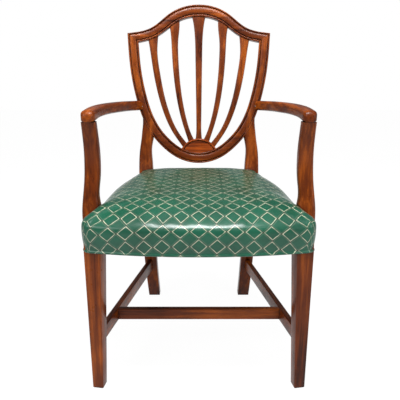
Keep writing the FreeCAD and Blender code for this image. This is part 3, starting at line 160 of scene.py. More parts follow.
# Pieces are smoothed where faces meet below these angles
WOOD_ANGLE = 32.0
SOFT_ANGLE = 60.0

PADDING_CLOTH = {
    "quality": 6,
    "mass": 0.4,
    "tension_stiffness": 30,
    "compression_stiffness": 30,
    "shear_stiffness": 12,
    "bending_stiffness": 1.5,
    "vertex_group_mass": "held",
    "use_pressure": True,
    "uniform_pressure_force": 3.0,
}

# Lamps: name, place, what they are aimed at, size and watts
LAMPS = (
    ("softbox_above", (0.0, -0.62, 2.10), (0.0, -0.24, 0.45), (0.72, 0.56), 44.0),
    ("key_left", (-1.9, -2.1, 2.3), (0.0, 0.0, 0.45), (1.3, 1.3), 24.0),
    ("fill_right", (2.2, -1.7, 1.5), (0.0, 0.0, 0.5), (1.4, 1.4), 20.0),
)
# Strength of the floor's glow, the share of it that the camera sees, and of the light all round
FLOOR_GLOW = 1.07
GLOW_SHARE = 0.90
SURROUND_LIGHT = 0.26


def place(x, y, z):
    """A point in the frame from millimetres across, back from the leg corner and up."""
    return Vector((x * MM, y * MM + FRONT_Y, z * MM))


class ArmchairShieldSettings(bpy.types.PropertyGroup):
    """Sizes of the shield frame and its splats."""

    member_width: FloatProperty(
        name="Member width",
        description="Width of the moulded sides and bowl",
        default=33.5 * MM,
        unit="LENGTH",
    )
    member_depth: FloatProperty(
        name="Member depth", description="Thickness of the moulded frame", default=24.0 * MM, unit="LENGTH"
    )
    crest_width: FloatProperty(
        name="Crest width", description="Width in the middle of the crest", default=35.5 * MM, unit="LENGTH"
    )
    outer_bead: FloatProperty(
        name="Outer bead", description="Width of the bead along the outside", default=4.4 * MM, unit="LENGTH"
    )
    inner_bead: FloatProperty(
        name="Inner bead", description="Width of the bead along the inside", default=5.8 * MM, unit="LENGTH"
    )
    quirk_width: FloatProperty(
        name="Quirk width",
        description="Width of the groove beside each bead",
        default=1.8 * MM,
        unit="LENGTH",
    )
    hollow: FloatProperty(
        name="Hollow", description="How deep the shield is dished across", default=14.0 * MM, unit="LENGTH"
    )
    splat_setback: FloatProperty(
        name="Splat setback", description="Splat face behind the shield face", default=5.0 * MM, unit="LENGTH"
    )
    splat_depth: FloatProperty(
        name="Splat thickness", description="Thickness of the splats", default=12.0 * MM, unit="LENGTH"
    )
    lunette_radius: FloatProperty(
        name="Lunette radius", description="Radius of the half round", default=64.0 * MM, unit="LENGTH"
    )


class ArmchairFrameSettings(bpy.types.PropertyGroup):
    """Sizes of the arms, legs and stretchers."""

    arm_width_back: FloatProperty(
        name="Arm width, back", description="Arm width at the post", default=24.0 * MM, unit="LENGTH"
    )
    arm_width_front: FloatProperty(
        name="Arm width, front", description="Arm width at the knuckle", default=35.0 * MM, unit="LENGTH"
    )
    arm_height: FloatProperty(
        name="Arm height", description="Depth of the arm", default=30.0 * MM, unit="LENGTH"
    )
    leg_width_top: FloatProperty(
        name="Leg width, top", description="Front leg at the rails", default=41.5 * MM, unit="LENGTH"
    )
    leg_width_foot: FloatProperty(
        name="Leg width, foot", description="Front leg at the floor", default=27.5 * MM, unit="LENGTH"
    )
    stretcher_height: FloatProperty(
        name="Side stretcher height",
        description="Depth of the side stretchers",
        default=35.0 * MM,
        unit="LENGTH",
    )
    stretcher_thickness: FloatProperty(
        name="Stretcher thickness",
        description="Thickness of the stretchers",
        default=15.5 * MM,
        unit="LENGTH",
    )


class ArmchairWoodSettings(bpy.types.PropertyGroup):
    """Colours of the polished wood."""

    dark: FloatVectorProperty(
        name="Dark", description="Pores and shaded grain", subtype="COLOR", default=(0.026, 0.004, 0.001)
    )
    middle: FloatVectorProperty(
        name="Middle", description="Most of the surface", subtype="COLOR", default=(0.130, 0.025, 0.003)
    )
    light: FloatVectorProperty(
        name="Light",
        description="Bright ribbons of the figure",
        subtype="COLOR",
        default=(0.290, 0.066, 0.006),
    )
    worn: FloatVectorProperty(
        name="Worn edge", description="Edges rubbed pale", subtype="COLOR", default=(0.380, 0.130, 0.035)
    )
    # Colour laid into the hollows: old polish, together with painted shade where the occlusion mask finds
    # them shaded.
    grime_and_painted_shade: FloatVectorProperty(
        name="Grime", description="Old polish in the hollows", subtype="COLOR", default=(0.016, 0.004, 0.002)
    )


class ArmchairCoverSettings(bpy.types.PropertyGroup):
    """Colours and repeat of the patterned seat cover."""

    ground: FloatVectorProperty(
        name="Ground", description="Green of the cloth", subtype="COLOR", default=(0.003, 0.088, 0.046)
    )
    ground_dark: FloatVectorProperty(
        name="Ground, dark",
        description="Shaded green beside the lines",
        subtype="COLOR",
        default=(0.002, 0.034, 0.018),
    )
    thread: FloatVectorProperty(
        name="Thread", description="Pale figure thread", subtype="COLOR", default=(0.700, 0.690, 0.500)
    )
    crossing: FloatVectorProperty(
        name="Crossing",
        description="Dark stitches where lines cross",
        subtype="COLOR",
        default=(0.060, 0.018, 0.014),
    )
    trellis_width: FloatProperty(
        name="Trellis width", description="Width of one diamond", default=40.5 * MM, unit="LENGTH"
    )
    trellis_height: FloatProperty(
        name="Trellis height", description="Height of one diamond", default=40.0 * MM, unit="LENGTH"
    )
    swell: FloatProperty(
        name="Swell", description="Furthest a point moves when padded", default=4.0 * MM, unit="LENGTH"
    )
    frames: IntProperty(
        name="Settling frames", description="Frames the padding is settled for", default=20
    )


class ArmchairStageSettings(bpy.types.PropertyGroup):
    """Camera and floor."""

    lens: FloatProperty(
        name="Lens", description="Focal length", subtype="DISTANCE_CAMERA", default=44.15
    )
    tilt: FloatProperty(
        name="Tilt",
        description="How far the camera looks down",
        subtype="ANGLE",
        default=math.radians(16.605),
    )
    height: FloatProperty(
        name="Height", description="Camera height", default=0.8157, unit="LENGTH"
    )
    distance: FloatProperty(
        name="Distance", description="Camera in front of the origin", default=1.3638, unit="LENGTH"
    )
    floor: FloatVectorProperty(
        name="Floor", description="Floor and backdrop", subtype="COLOR", default=(0.90, 0.90, 0.90)
    )


# Curves through rows of numbers
def curve_bends(knots, values):
    """Second slopes of the smooth curve through values at knots."""
    count = len(knots)
    share = [0.0] * count
    bends = [0.0] * count
    for i in range(1, count - 1):
        before = knots[i] - knots[i - 1]
        after = knots[i + 1] - knots[i]
        turn = (values[i + 1] - values[i]) / after - (values[i] - values[i - 1]) / before
        pivot = 2 * (before + after) - before * share[i - 1]
        share[i] = after / pivot
        bends[i] = (6 * turn - before * bends[i - 1]) / pivot
    for i in range(count - 2, 0, -1):
        bends[i] -= share[i] * bends[i + 1]
    return bends


def smooth_rows(rows, count, places=2, first=0, last=None, short=0.0):
    """count rows on the smooth curve through rows, evenly spaced along their first few numbers.

    first and last pick the rows between which it is sampled, short stops it before the last."""
    knots = [0.0]
    for before, after in zip(rows, rows[1:]):
        knots.append(knots[-1] + math.dist(before[:places], after[:places]))
    start = knots[first]
    end = knots[-1 if last is None else last] - short
    columns = list(zip(*rows))
    bends = [curve_bends(knots, column) for column in columns]
    made = []
    for index in range(count):
        at = start + (end - start) * index / (count - 1)
        i = max(k for k in range(len(knots) - 1) if knots[k] <= at + 1e-9)
        width = knots[i + 1] - knots[i]
        b = (at - knots[i]) / width
        a = 1 - b
        row = []
        for column, bend in zip(columns, bends):
            lift = ((a ** 3 - a) * bend[i] + (b ** 3 - b) * bend[i + 1]) * width * width / 6
            row.append(a * column[i] + b * column[i + 1] + lift)
        made.append(tuple(row))
    return made


def direction_at(rows, index):
    """Unit direction of a line of rows at one of them."""
    before = Vector(rows[max(index - 1, 0)][:2])
    after = Vector(rows[min(index + 1, len(rows) - 1)][:2])
    return (after - before).normalized()


# Shield surface
def on_shield(u, t, depth=0.0):
    """Point for a place on the shield: across, up the lean and depth into the wood."""
    hollow = bpy.context.scene.armchair_shield.hollow / MM
    inward = depth + hollow * (1 - (u / SHIELD_HALF) ** 2)
    y = SHIELD_Y + t * math.sin(LEAN) + inward * math.cos(LEAN)
    z = SHIELD_Z + t * math.cos(LEAN) - inward * math.sin(LEAN)
    return place(u, y, z)


def shield_frame(u, t, way):
    """Origin, unit direction across and unit direction into the wood at a place on the shield."""
    step = 0.5
    origin = on_shield(u, t)
    across = on_shield(u + way[0] * step, t + way[1] * step) - on_shield(u - way[0] * step, t - way[1] * step)
    across.normalize()
    side_u = on_shield(u + step, t) - on_shield(u - step, t)
    side_t = on_shield(u, t + step) - on_shield(u, t - step)
    back = side_t.cross(side_u).normalized()
    return origin, across, (back - across * back.dot(across)).normalized()


def moulded_edge(bead, quirk, depth):
    """Eased back corner, flat side, bead and quirk: (in from the edge, depth) places."""
    points = [(2.6, depth), (0.8, depth - 0.7), (0.0, depth - 2.6), (0.0, BEAD_DROP + 0.6)]
    for step in range(7):
        angle = math.pi * step / 6
        points.append((bead / 2 * (1 - math.cos(angle)), BEAD_DROP - min(bead, 5.0) / 2 * math.sin(angle)))
    points.append((bead + 0.3, BEAD_DROP + 2.4))
    points.append((bead + quirk - 0.3, BEAD_DROP + 2.4))
    return points


def moulding_profile():
    """Bead, quirk, rounded band, quirk and bead, with a flat back: (across, depth) places."""
    sizes = bpy.context.scene.armchair_shield
    width = sizes.member_width / MM
    quirk = sizes.quirk_width / MM
    outer = moulded_edge(sizes.outer_bead / MM, quirk, sizes.member_depth / MM)
    inner = moulded_edge(sizes.inner_bead / MM, quirk, sizes.member_depth / MM)
    start = sizes.outer_bead / MM + quirk
    end = width - sizes.inner_bead / MM - quirk
    band = []
    for step in range(13):
        angle = math.pi * step / 12
        across = (start + end - (end - start) * math.cos(angle)) / 2
        band.append((across, BEAD_DROP - BEAD_DROP * math.sin(angle) ** 0.85))
    return outer + band + [(width - w, d) for w, d in reversed(inner)]


def moulding_ring(outer, inner, profile):
    """The moulded profile set between an outer and an inner place on the shield."""
    across = Vector(inner) - Vector(outer)
    middle = (Vector(inner) + Vector(outer)) / 2
    whole = bpy.context.scene.armchair_shield.member_width / MM
    origin, side, back = shield_frame(middle.x, middle.y, across.normalized())
    stretch = across.length / whole
    return [origin + side * ((w - whole / 2) * stretch * MM) + back * (d * MM) for w, d in profile]


def mitre_ring(side):
    """Moulded ring on the mitre at a shoulder: side is 1 on the right and -1 on the left."""
    inner = (side * SHOULDER_INNER[0], SHOULDER_INNER[1])
    return moulding_ring((side * SHIELD_HALF, SHOULDER), inner, moulding_profile())


def member_rings(rows, widths=None):
    """Moulded rings along a line that is the member's outer edge, as wide as the member unless told."""
    profile = moulding_profile()
    if widths is None:
        widths = [bpy.context.scene.armchair_shield.member_width / MM] * len(rows)
    rings = []
    for index, (u, t) in enumerate(rows):
        way = direction_at(rows, index)
        inner = (u - way.y * widths[index], t + way.x * widths[index])
        rings.append(moulding_ring((u, t), inner, profile))
    return rings


def post_front_at(z):
    """Front face of a back post at a height."""
    return POST_FRONT + RAKE * max(1 - z / KNEE, 0.0) ** 2.1


# Building with Blender's own tools
def deselect():
    """Nothing is selected and no piece is in edit mode."""
    if bpy.context.mode != "OBJECT":
        bpy.ops.object.mode_set(mode="OBJECT")
    bpy.ops.object.select_all(action="DESELECT")


def put_selected(piece, ring):
    """Move the selected points of a piece in edit mode onto a ring."""
    mesh = bmesh.from_edit_mesh(piece.data)
    chosen = [vertex for vertex in mesh.verts if vertex.select]
    if len(chosen) != len(ring):
        raise RuntimeError(piece.name + ": the ring and the selection differ")
    for vertex, point in zip(chosen, ring):
        vertex.co = point
    bmesh.update_edit_mesh(piece.data)


def cap(piece, places):
    """In edit mode, close the ring of these points with a face."""
    bpy.ops.mesh.select_all(action="DESELECT")
    mesh = bmesh.from_edit_mesh(piece.data)
    mesh.verts.ensure_lookup_table()
    for vertex in mesh.verts[places]:
        vertex.select = True
    mesh.select_flush(True)
    bmesh.update_edit_mesh(piece.data)
    bpy.ops.mesh.edge_face_add()


def face_outwards():
    """Point every face outwards, and leave edit mode."""
    bpy.ops.mesh.select_all(action="SELECT")
    bpy.ops.mesh.normals_make_consistent(inside=False)
    bpy.ops.object.mode_set(mode="OBJECT")


def draw_through(name, rings, closed=True):
    """A skin drawn from ring to ring by extruding a circle, capped at both ends if it is closed."""
    deselect()
    sides = len(rings[0])
    bpy.ops.mesh.primitive_circle_add(vertices=sides, radius=0.01, fill_type="NOTHING", location=(0, 0, 0))
    piece = bpy.context.object
    piece.name = name
    piece.data.name = name
    bpy.ops.object.mode_set(mode="EDIT")
    bpy.ops.mesh.select_mode(type="VERT")
    put_selected(piece, rings[0])
    for ring in rings[1:]:
        bpy.ops.mesh.extrude_region()
        put_selected(piece, ring)
    if closed:
        bpy.ops.mesh.edge_face_add()
        cap(piece, slice(sides))
    face_outwards()
    return piece


def choose(piece):
    """Only this piece is selected, and it is the active one."""
    deselect()
    piece.select_set(True)
    bpy.context.view_layer.objects.active = piece


def mirror_copy(piece, name):
    """A copy with its own mesh on the other side of the chair."""
    choose(piece)
    bpy.ops.object.duplicate(linked=False)
    copy = bpy.context.object
    copy.name = name
    copy.data.name = name
    bpy.ops.object.mode_set(mode="EDIT")
    bpy.ops.mesh.select_all(action="SELECT")
    bpy.ops.transform.resize(value=(-1.0, 1.0, 1.0), center_override=(0.0, 0.0, 0.0))
    face_outwards()
    return copy


def apply_modifier(piece, kind, **values):
    """Add a modifier with these values and apply it."""
    choose(piece)
    bpy.ops.object.modifier_add(type=kind)
    modifier = piece.modifiers[-1]
    for key, value in values.items():
        setattr(modifier, key, value)
    bpy.ops.object.modifier_apply(modifier=modifier.name)


def finish_piece(piece, material, nodes, angle=WOOD_ANGLE):
    """Smooth a piece, give it its material, and set it on the frame in place of its nodes."""
    choose(piece)
    bpy.ops.object.shade_smooth_by_angle(angle=math.radians(angle))
    piece.data.materials.clear()
    piece.data.materials.append(material)
    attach(piece, "root")
    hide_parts(*nodes)


def finish_pair(piece, name, material):
    """Finish a right-hand piece and its copy on the left."""
    copy = mirror_copy(piece, name + "_left")
    finish_piece(piece, material, [name + "_right"])
    finish_piece(copy, material, [name + "_left"])


def wood_piece(name, rings, way):
    """A mahogany piece drawn through its rings, in place of the CAD part of that name."""
    finish_piece(draw_through(name, rings), mahogany(way), [name])


def wood_pair(name, rings, way):
    """A right-hand mahogany piece drawn through its rings, and its copy on the left."""
    finish_pair(draw_through(name + "_right", rings), name, mahogany(way))


def upright_corners(right, left, front, rear, z):
    """Four corners of an upright member at a height."""
    return [place(right, front, z), place(right, rear, z), place(left, rear, z), place(left, front, z)]


def round_off(start, corner, end, share):
    """A place on the round bend from start to end that leans on a corner."""
    weight = math.sqrt(0.5) * 2 * share * (1 - share)
    whole = (1 - share) ** 2 + weight + share ** 2
    return (start * (1 - share) ** 2 + corner * weight + end * share ** 2) / whole


def rounded_box_ring(corners, radii, steps):
    """Points round a flat four-cornered shape, each corner rounded to its own radius."""
    ring = []
    for index, corner in enumerate(corners):
        to_before = (corners[index - 1] - corner).normalized()
        to_after = (corners[(index + 1) % 4] - corner).normalized()
        start = corner + to_before * radii[index]
        end = corner + to_after * radii[index]
        ring += [round_off(start, corner, end, step / steps) for step in range(steps + 1)]
    return ring


# Materials
def opaque(colour):
    """A colour with full alpha."""
    return (*colour, 1.0)
def add_node(tree, kind, **values):
    """A node of a kind, set down to the right of the last, with its properties."""
    made = tree.nodes.new(kind)
    made.location = (200 * (len(tree.nodes) % 12), -220 * (len(tree.nodes) // 12))
    for key, value in values.items():
        setattr(made, key, value)
    return made


def feed(tree, socket, value):
    """Link a socket to an output, or set its own value."""
    if isinstance(value, bpy.types.NodeSocket):
        tree.links.new(value, socket)
    else:
        socket.default_value = value


def calc(tree, operation, first, second=0.0, third=0.0, clamp=False):
    """Output of a Math node."""
    made = add_node(tree, "ShaderNodeMath", operation=operation, use_clamp=clamp)
    for socket, value in zip(made.inputs, (first, second, third)):
        feed(tree, socket, value)
    return made.outputs[0]


def product(tree, first, *others):
    """Output of Math nodes that multiply values together."""
    for other in others:
        first = calc(tree, "MULTIPLY", first, other)
    return first


def spread(tree, value, low, high, to_low=0.0, to_high=1.0):
    """Smooth step of a value between two limits, given new limits."""
    made = add_node(tree, "ShaderNodeMapRange", interpolation_type="SMOOTHSTEP")
    for socket, number in zip(made.inputs, (value, low, high, to_low, to_high)):
        feed(tree, socket, number)
    return made.outputs[0]


def blend_colour(tree, factor, first, second, way="MIX"):
    """Output of a colour Mix node."""
    made = add_node(tree, "ShaderNodeMix", data_type="RGBA", blend_type=way)
    feed(tree, made.inputs[0], factor)
    feed(tree, made.inputs[6], first)
    feed(tree, made.inputs[7], second)
    return made.outputs[2]


def noise_at(tree, vector, scale, detail=4.0, rough=0.55, warp=0.0):
    """Output of a noise texture read at a vector."""
    made = add_node(tree, "ShaderNodeTexNoise")
    feed(tree, made.inputs["Vector"], vector)
    made.inputs["Scale"].default_value = scale
    made.inputs["Detail"].default_value = detail
    made.inputs["Roughness"].default_value = rough
    made.inputs["Distortion"].default_value = warp
    return made.outputs["Fac"]


def stretched(tree, vector, scale):
    """A vector scaled along each of its directions."""
    made = add_node(tree, "ShaderNodeMapping")
    feed(tree, made.inputs["Vector"], vector)
    made.inputs["Scale"].default_value = scale
    return made.outputs[0]


def new_group(name, inputs, outputs):
    """Empty node group with named sockets, its input node and its output node."""
    tree = bpy.data.node_groups.new(name, "ShaderNodeTree")
    for label, kind in inputs:
        tree.interface.new_socket(label, in_out="INPUT", socket_type=kind)
    for label, kind in outputs:
        tree.interface.new_socket(label, in_out="OUTPUT", socket_type=kind)
    return tree, add_node(tree, "NodeGroupInput"), add_node(tree, "NodeGroupOutput")


def use_group(tree, group, **values):
    """Place a node group in a tree with its own values."""
    made = add_node(tree, "ShaderNodeGroup", node_tree=group)
    for key, value in values.items():
        feed(tree, made.inputs[key.replace("_", " ")], value)
    return made


def figure_group():
    """Streaks, ribbons and pores of mahogany whose grain runs along the vector's X."""
    found = bpy.data.node_groups.get("wood_figure")
    if found:
        return found
    colour = "NodeSocketColor"
    tree, start, end = new_group(
        "wood_figure",
        [("Vector", "NodeSocketVector"), ("Dark", colour), ("Middle", colour), ("Light", colour)],
        [("Color", colour), ("Height", "NodeSocketFloat")],
    )
    vector = start.outputs["Vector"]
    ribbon = noise_at(tree, stretched(tree, vector, (2.2, 22.0, 22.0)), 1.0, 3.0, 0.5, 0.6)
    streak = noise_at(tree, stretched(tree, vector, (5.0, 120.0, 120.0)), 1.0, 5.0, 0.62, 0.3)
    fleck = noise_at(tree, stretched(tree, vector, (40.0, 900.0, 900.0)), 1.0, 2.0, 0.5)
    cloud = noise_at(tree, vector, 9.0, 2.0)
    tone = calc(tree, "MULTIPLY_ADD", ribbon, 0.55, product(tree, streak, 0.45))
    warm = spread(tree, tone, 0.48, 0.62)
    deep = spread(tree, tone, 0.47, 0.36)
    colour_out = blend_colour(tree, warm, start.outputs["Middle"], start.outputs["Light"])
    colour_out = blend_colour(tree, product(tree, deep, 0.85), colour_out, start.outputs["Dark"])
    clouded = spread(tree, cloud, 0.35, 0.7)
    patch = blend_colour(tree, clouded, opaque((0.74, 0.68, 0.66)), opaque((1.12, 1.08, 1.05)))
    colour_out = blend_colour(tree, 1.0, colour_out, patch, "MULTIPLY")
    pore = spread(tree, fleck, 0.62, 0.72)
    colour_out = blend_colour(tree, product(tree, pore, 0.55), colour_out, start.outputs["Dark"])
    feed(tree, end.inputs["Color"], colour_out)
    height = calc(tree, "MULTIPLY_ADD", pore, -0.8, product(tree, streak, 0.3))
    feed(tree, end.inputs["Height"], height)
    return tree


def wear_and_shade_group():
    """Edges rubbed paler, and hollows darkened by old polish and by painted shade from an occlusion mask."""
    found = bpy.data.node_groups.get("wear_and_painted_shade")
    if found:
        return found
    tree, start, end = new_group(
        "wear_and_painted_shade",
        [("Color", "NodeSocketColor"), ("Worn", "NodeSocketColor"), ("Grime", "NodeSocketColor"),
         ("Amount", "NodeSocketFloat")],
        [("Color", "NodeSocketColor"), ("Hollow", "NodeSocketFloat")],
    )
    geometry = add_node(tree, "ShaderNodeNewGeometry")
    soft = add_node(tree, "ShaderNodeBevel", samples=6)
    soft.inputs["Radius"].default_value = 1.6 * MM
    meet = add_node(tree, "ShaderNodeVectorMath", operation="DOT_PRODUCT")
    feed(tree, meet.inputs[0], soft.outputs["Normal"])
    feed(tree, meet.inputs[1], geometry.outputs["Normal"])
    edge = spread(tree, calc(tree, "SUBTRACT", 1.0, meet.outputs["Value"]), 0.01, 0.16)
    # Painted shade: ambient occlusion darkens hollows, corners and the places between parts where shade
    # falls.
    shade = add_node(tree, "ShaderNodeAmbientOcclusion", samples=8)
    shade.inputs["Distance"].default_value = 9.0 * MM
    hollow = spread(tree, shade.outputs["AO"], 0.92, 0.45)
    where = add_node(tree, "ShaderNodeTexCoord")
    broken = spread(tree, noise_at(tree, where.outputs["Object"], 60.0, 4.0), 0.38, 0.62)
    open_edge = calc(tree, "MULTIPLY", edge, calc(tree, "SUBTRACT", 1.0, hollow, clamp=True))
    rub = calc(tree, "MULTIPLY", product(tree, open_edge, broken), start.outputs["Amount"], clamp=True)
    out = blend_colour(tree, rub, start.outputs["Color"], start.outputs["Worn"])
    # Hollows are mixed towards the grime colour, which is old polish together with painted shade.
    out = blend_colour(tree, product(tree, hollow, 0.8), out, start.outputs["Grime"])
    feed(tree, end.inputs["Color"], out)
    feed(tree, end.inputs["Hollow"], hollow)
    return tree


def trellis_group():
    """Diamonds inside a trellis: pale lines, dim lines, the gaps between them and their corners."""
    found = bpy.data.node_groups.get("diamond_trellis")
    if found:
        return found
    number = "NodeSocketFloat"
    tree, start, end = new_group(
        "diamond_trellis",
        [("Vector", "NodeSocketVector"), ("Width", number), ("Height", number)],
        [("Pale", number), ("Dim", number), ("Gap", number), ("Crossing", number)],
    )
    wobble = noise_at(tree, start.outputs["Vector"], 55.0, 2.0)
    parts = add_node(tree, "ShaderNodeSeparateXYZ")
    feed(tree, parts.inputs[0], start.outputs["Vector"])
    across = calc(tree, "DIVIDE", parts.outputs[0], start.outputs["Width"])
    across = calc(tree, "ADD", across, calc(tree, "MULTIPLY_ADD", wobble, 0.05, -0.025))
    along = calc(tree, "DIVIDE", parts.outputs[1], start.outputs["Height"])
    first = calc(tree, "ADD", across, along)
    second = calc(tree, "SUBTRACT", across, along)
    cell_first = calc(tree, "ROUND", first)
    cell_second = calc(tree, "ROUND", second)
    inside_first = calc(tree, "ABSOLUTE", calc(tree, "SUBTRACT", first, cell_first))
    inside_second = calc(tree, "ABSOLUTE", calc(tree, "SUBTRACT", second, cell_second))
    rim = calc(tree, "MAXIMUM", inside_first, inside_second)
    corner = calc(tree, "MINIMUM", inside_first, inside_second)
    odd = calc(tree, "PINGPONG", calc(tree, "ADD", cell_first, cell_second), 1.0)
    line = calc(tree, "ABSOLUTE", calc(tree, "SUBTRACT", rim, 0.438))
    line = spread(tree, line, 0.034, 0.014)
    feed(tree, end.inputs["Pale"], product(tree, line, calc(tree, "SUBTRACT", 1.0, odd)))
    feed(tree, end.inputs["Dim"], product(tree, line, odd))
    feed(tree, end.inputs["Gap"], spread(tree, rim, 0.472, 0.488))
    feed(tree, end.inputs["Crossing"], spread(tree, corner, 0.43, 0.47))
    return tree


def weave_group():
    """Fine ribbed weave: height of the yarns and a mask that breaks colours into stitches."""
    found = bpy.data.node_groups.get("ribbed_weave")
    if found:
        return found
    tree, start, end = new_group(
        "ribbed_weave",
        [("Vector", "NodeSocketVector"), ("Pitch", "NodeSocketFloat")],
        [("Height", "NodeSocketFloat"), ("Stitch", "NodeSocketFloat")],
    )
    parts = add_node(tree, "ShaderNodeSeparateXYZ")
    feed(tree, parts.inputs[0], start.outputs["Vector"])
    turns = []
    for index, share in ((0, 1.0), (1, 1.35)):
        turn = calc(tree, "DIVIDE", parts.outputs[index], start.outputs["Pitch"])
        turns.append(calc(tree, "SINE", product(tree, turn, 2 * math.pi * share)))
    both = product(tree, turns[0], turns[1])
    feed(tree, end.inputs["Height"], calc(tree, "MULTIPLY_ADD", both, 0.5, 0.5))
    feed(tree, end.inputs["Stitch"], spread(tree, turns[1], -0.7, 0.2))
    return tree


def new_material(name):
    """Material with an empty tree, a Principled shader and its output."""
    material = bpy.data.materials.new(name)
    material.use_nodes = True
    tree = material.node_tree
    tree.nodes.clear()
    shader = add_node(tree, "ShaderNodeBsdfPrincipled")
    output = add_node(tree, "ShaderNodeOutputMaterial")
    tree.links.new(shader.outputs[0], output.inputs["Surface"])
    return material, tree, shader


def add_bump(tree, shader, height, distance, strength=1.0):
    """Bump from a height, into a shader's normal."""
    bump = add_node(tree, "ShaderNodeBump")
    bump.inputs["Strength"].default_value = strength
    bump.inputs["Distance"].default_value = distance
    feed(tree, bump.inputs["Height"], height)
    tree.links.new(bump.outputs[0], shader.inputs["Normal"])


# Turns that lay the grain along each way
GRAIN_TURNS = {
    "upright": (0.0, math.radians(90), 0.0),
    "across": (0.0, 0.0, 0.0),
    "back": (0.0, 0.0, math.radians(-90)),
}


def mahogany(way, painted_light_gain=1.0):
    """Polished mahogany with its grain upright, across or from front to back; a gain above one gives a
    brighter copy, painted light for a piece that catches more light.
    """
    name = "mahogany_" + way + ("" if painted_light_gain == 1.0 else "_painted_light")
    found = bpy.data.materials.get(name)
    if found:
        return found
    tones = bpy.context.scene.armchair_wood
    material, tree, shader = new_material(name)
    where = add_node(tree, "ShaderNodeTexCoord")
    turn = add_node(tree, "ShaderNodeMapping")
    tree.links.new(where.outputs["Object"], turn.inputs["Vector"])
    turn.inputs["Rotation"].default_value = GRAIN_TURNS[way]
    # Painted light: the gain scales the dark, middle and light tones up for a lit copy of the wood.
    dark, middle, light = (
        opaque(min(1.0, part * painted_light_gain) for part in tone) for tone in (tones.dark, tones.middle, tones.light)
    )
    figure = use_group(tree, figure_group(), Vector=turn.outputs[0], Dark=dark, Middle=middle, Light=light)
    worn = opaque(tones.worn)
    # Rubbed edges are wear; the grime colour in the hollows is old polish and painted shade.
    grime_and_painted_shade = opaque(tones.grime_and_painted_shade)
    wear_and_shade = use_group(tree, wear_and_shade_group(), Color=figure.outputs["Color"], Worn=worn, Grime=grime_and_painted_shade, Amount=0.55)
    tree.links.new(wear_and_shade.outputs["Color"], shader.inputs["Base Color"])
    haze = spread(tree, noise_at(tree, where.outputs["Object"], 14.0, 4.0), 0.3, 0.7, 0.27, 0.42)
    tree.links.new(calc(tree, "MULTIPLY_ADD", wear_and_shade.outputs["Hollow"], 0.25, haze), shader.inputs["Roughness"])
    shader.inputs["Specular IOR Level"].default_value = 0.14
    shader.inputs["Coat Weight"].default_value = 0.10
    shader.inputs["Coat Roughness"].default_value = 0.14
    add_bump(tree, shader, figure.outputs["Height"], 0.12 * MM, 0.5)
    return material


def seat_cloth():
    """Satin green cloth with a pale diamond trellis, read from the cover's own map."""
    settings = bpy.context.scene.armchair_cover
    material, tree, shader = new_material("trellis_cloth")
    map_node = add_node(tree, "ShaderNodeUVMap", uv_map="cloth")
    vector = map_node.outputs[0]
    trellis = use_group(
        tree, trellis_group(), Vector=vector, Width=settings.trellis_width, Height=settings.trellis_height
    )
    weave = use_group(tree, weave_group(), Vector=vector, Pitch=1.1 * MM)
    fade = spread(tree, noise_at(tree, vector, 11.0, 3.0), 0.3, 0.7, 0.78, 1.18)
    green = opaque(settings.ground)
    dark = opaque(settings.ground_dark)
    thread = opaque(settings.thread)
    ground = blend_colour(tree, weave.outputs["Height"], dark, green)
    ground = blend_colour(tree, 0.65, ground, green)
    scaled = add_node(tree, "ShaderNodeVectorMath", operation="SCALE")
    tree.links.new(ground, scaled.inputs[0])
    tree.links.new(fade, scaled.inputs["Scale"])
    gap = product(tree, trellis.outputs["Gap"], 0.8)
    colour = blend_colour(tree, gap, scaled.outputs[0], dark)
    worn = spread(tree, noise_at(tree, vector, 90.0, 3.0), 0.32, 0.58, 0.35, 1.0)
    stitch = calc(tree, "MULTIPLY_ADD", weave.outputs["Stitch"], 0.45, 0.55)
    pale = product(tree, trellis.outputs["Pale"], stitch, worn)
    dim = product(tree, trellis.outputs["Dim"], stitch, 0.10)
    colour = blend_colour(tree, pale, colour, thread)
    colour = blend_colour(tree, dim, colour, thread)
    crossing = product(tree, trellis.outputs["Crossing"], 0.75)
    colour = blend_colour(tree, crossing, colour, opaque(settings.crossing))
    tree.links.new(colour, shader.inputs["Base Color"])
    sheen = spread(tree, noise_at(tree, vector, 70.0, 2.0), 0.3, 0.7, 0.30, 0.42)
    rough = calc(tree, "MULTIPLY_ADD", pale, 0.15, sheen)
    tree.links.new(rough, shader.inputs["Roughness"])
    shader.inputs["Specular IOR Level"].default_value = 0.16
    shader.inputs["Coat Weight"].default_value = 0.70
    shader.inputs["Coat Roughness"].default_value = 0.22
    raised = calc(tree, "MAXIMUM", trellis.outputs["Pale"], trellis.outputs["Dim"])
    slub = noise_at(tree, stretched(tree, vector, (60.0, 900.0, 1.0)), 1.0, 2.0)
    threads = calc(tree, "MULTIPLY_ADD", slub, 0.8, weave.outputs["Height"])
    add_bump(tree, shader, calc(tree, "MULTIPLY_ADD", raised, 1.2, threads), 0.16 * MM, 0.8)
    return material


def plain_material(name, first, second, scale, roughness, metallic=0.0, weave=0.0):
    """Hidden woods, screws and underside cloth: two tones, and a weave where there is one."""
    found = bpy.data.materials.get(name)
    if found:
        return found
    material, tree, shader = new_material(name)
    where = add_node(tree, "ShaderNodeTexCoord")
    vector = stretched(tree, where.outputs["Object"], scale)
    mottle = noise_at(tree, vector, 1.0, 5.0, 0.6)
    tone = blend_colour(tree, spread(tree, mottle, 0.35, 0.65), opaque(first), opaque(second))
    tree.links.new(tone, shader.inputs["Base Color"])
    rough = spread(tree, mottle, 0.2, 0.8, roughness - 0.1, roughness + 0.1)
    tree.links.new(rough, shader.inputs["Roughness"])
    shader.inputs["Metallic"].default_value = metallic
    height = mottle
    if weave:
        cloth = use_group(tree, weave_group(), Vector=where.outputs["Object"], Pitch=weave)
        height = cloth.outputs["Height"]
    add_bump(tree, shader, height, 0.15 * MM, 0.5)
    return material


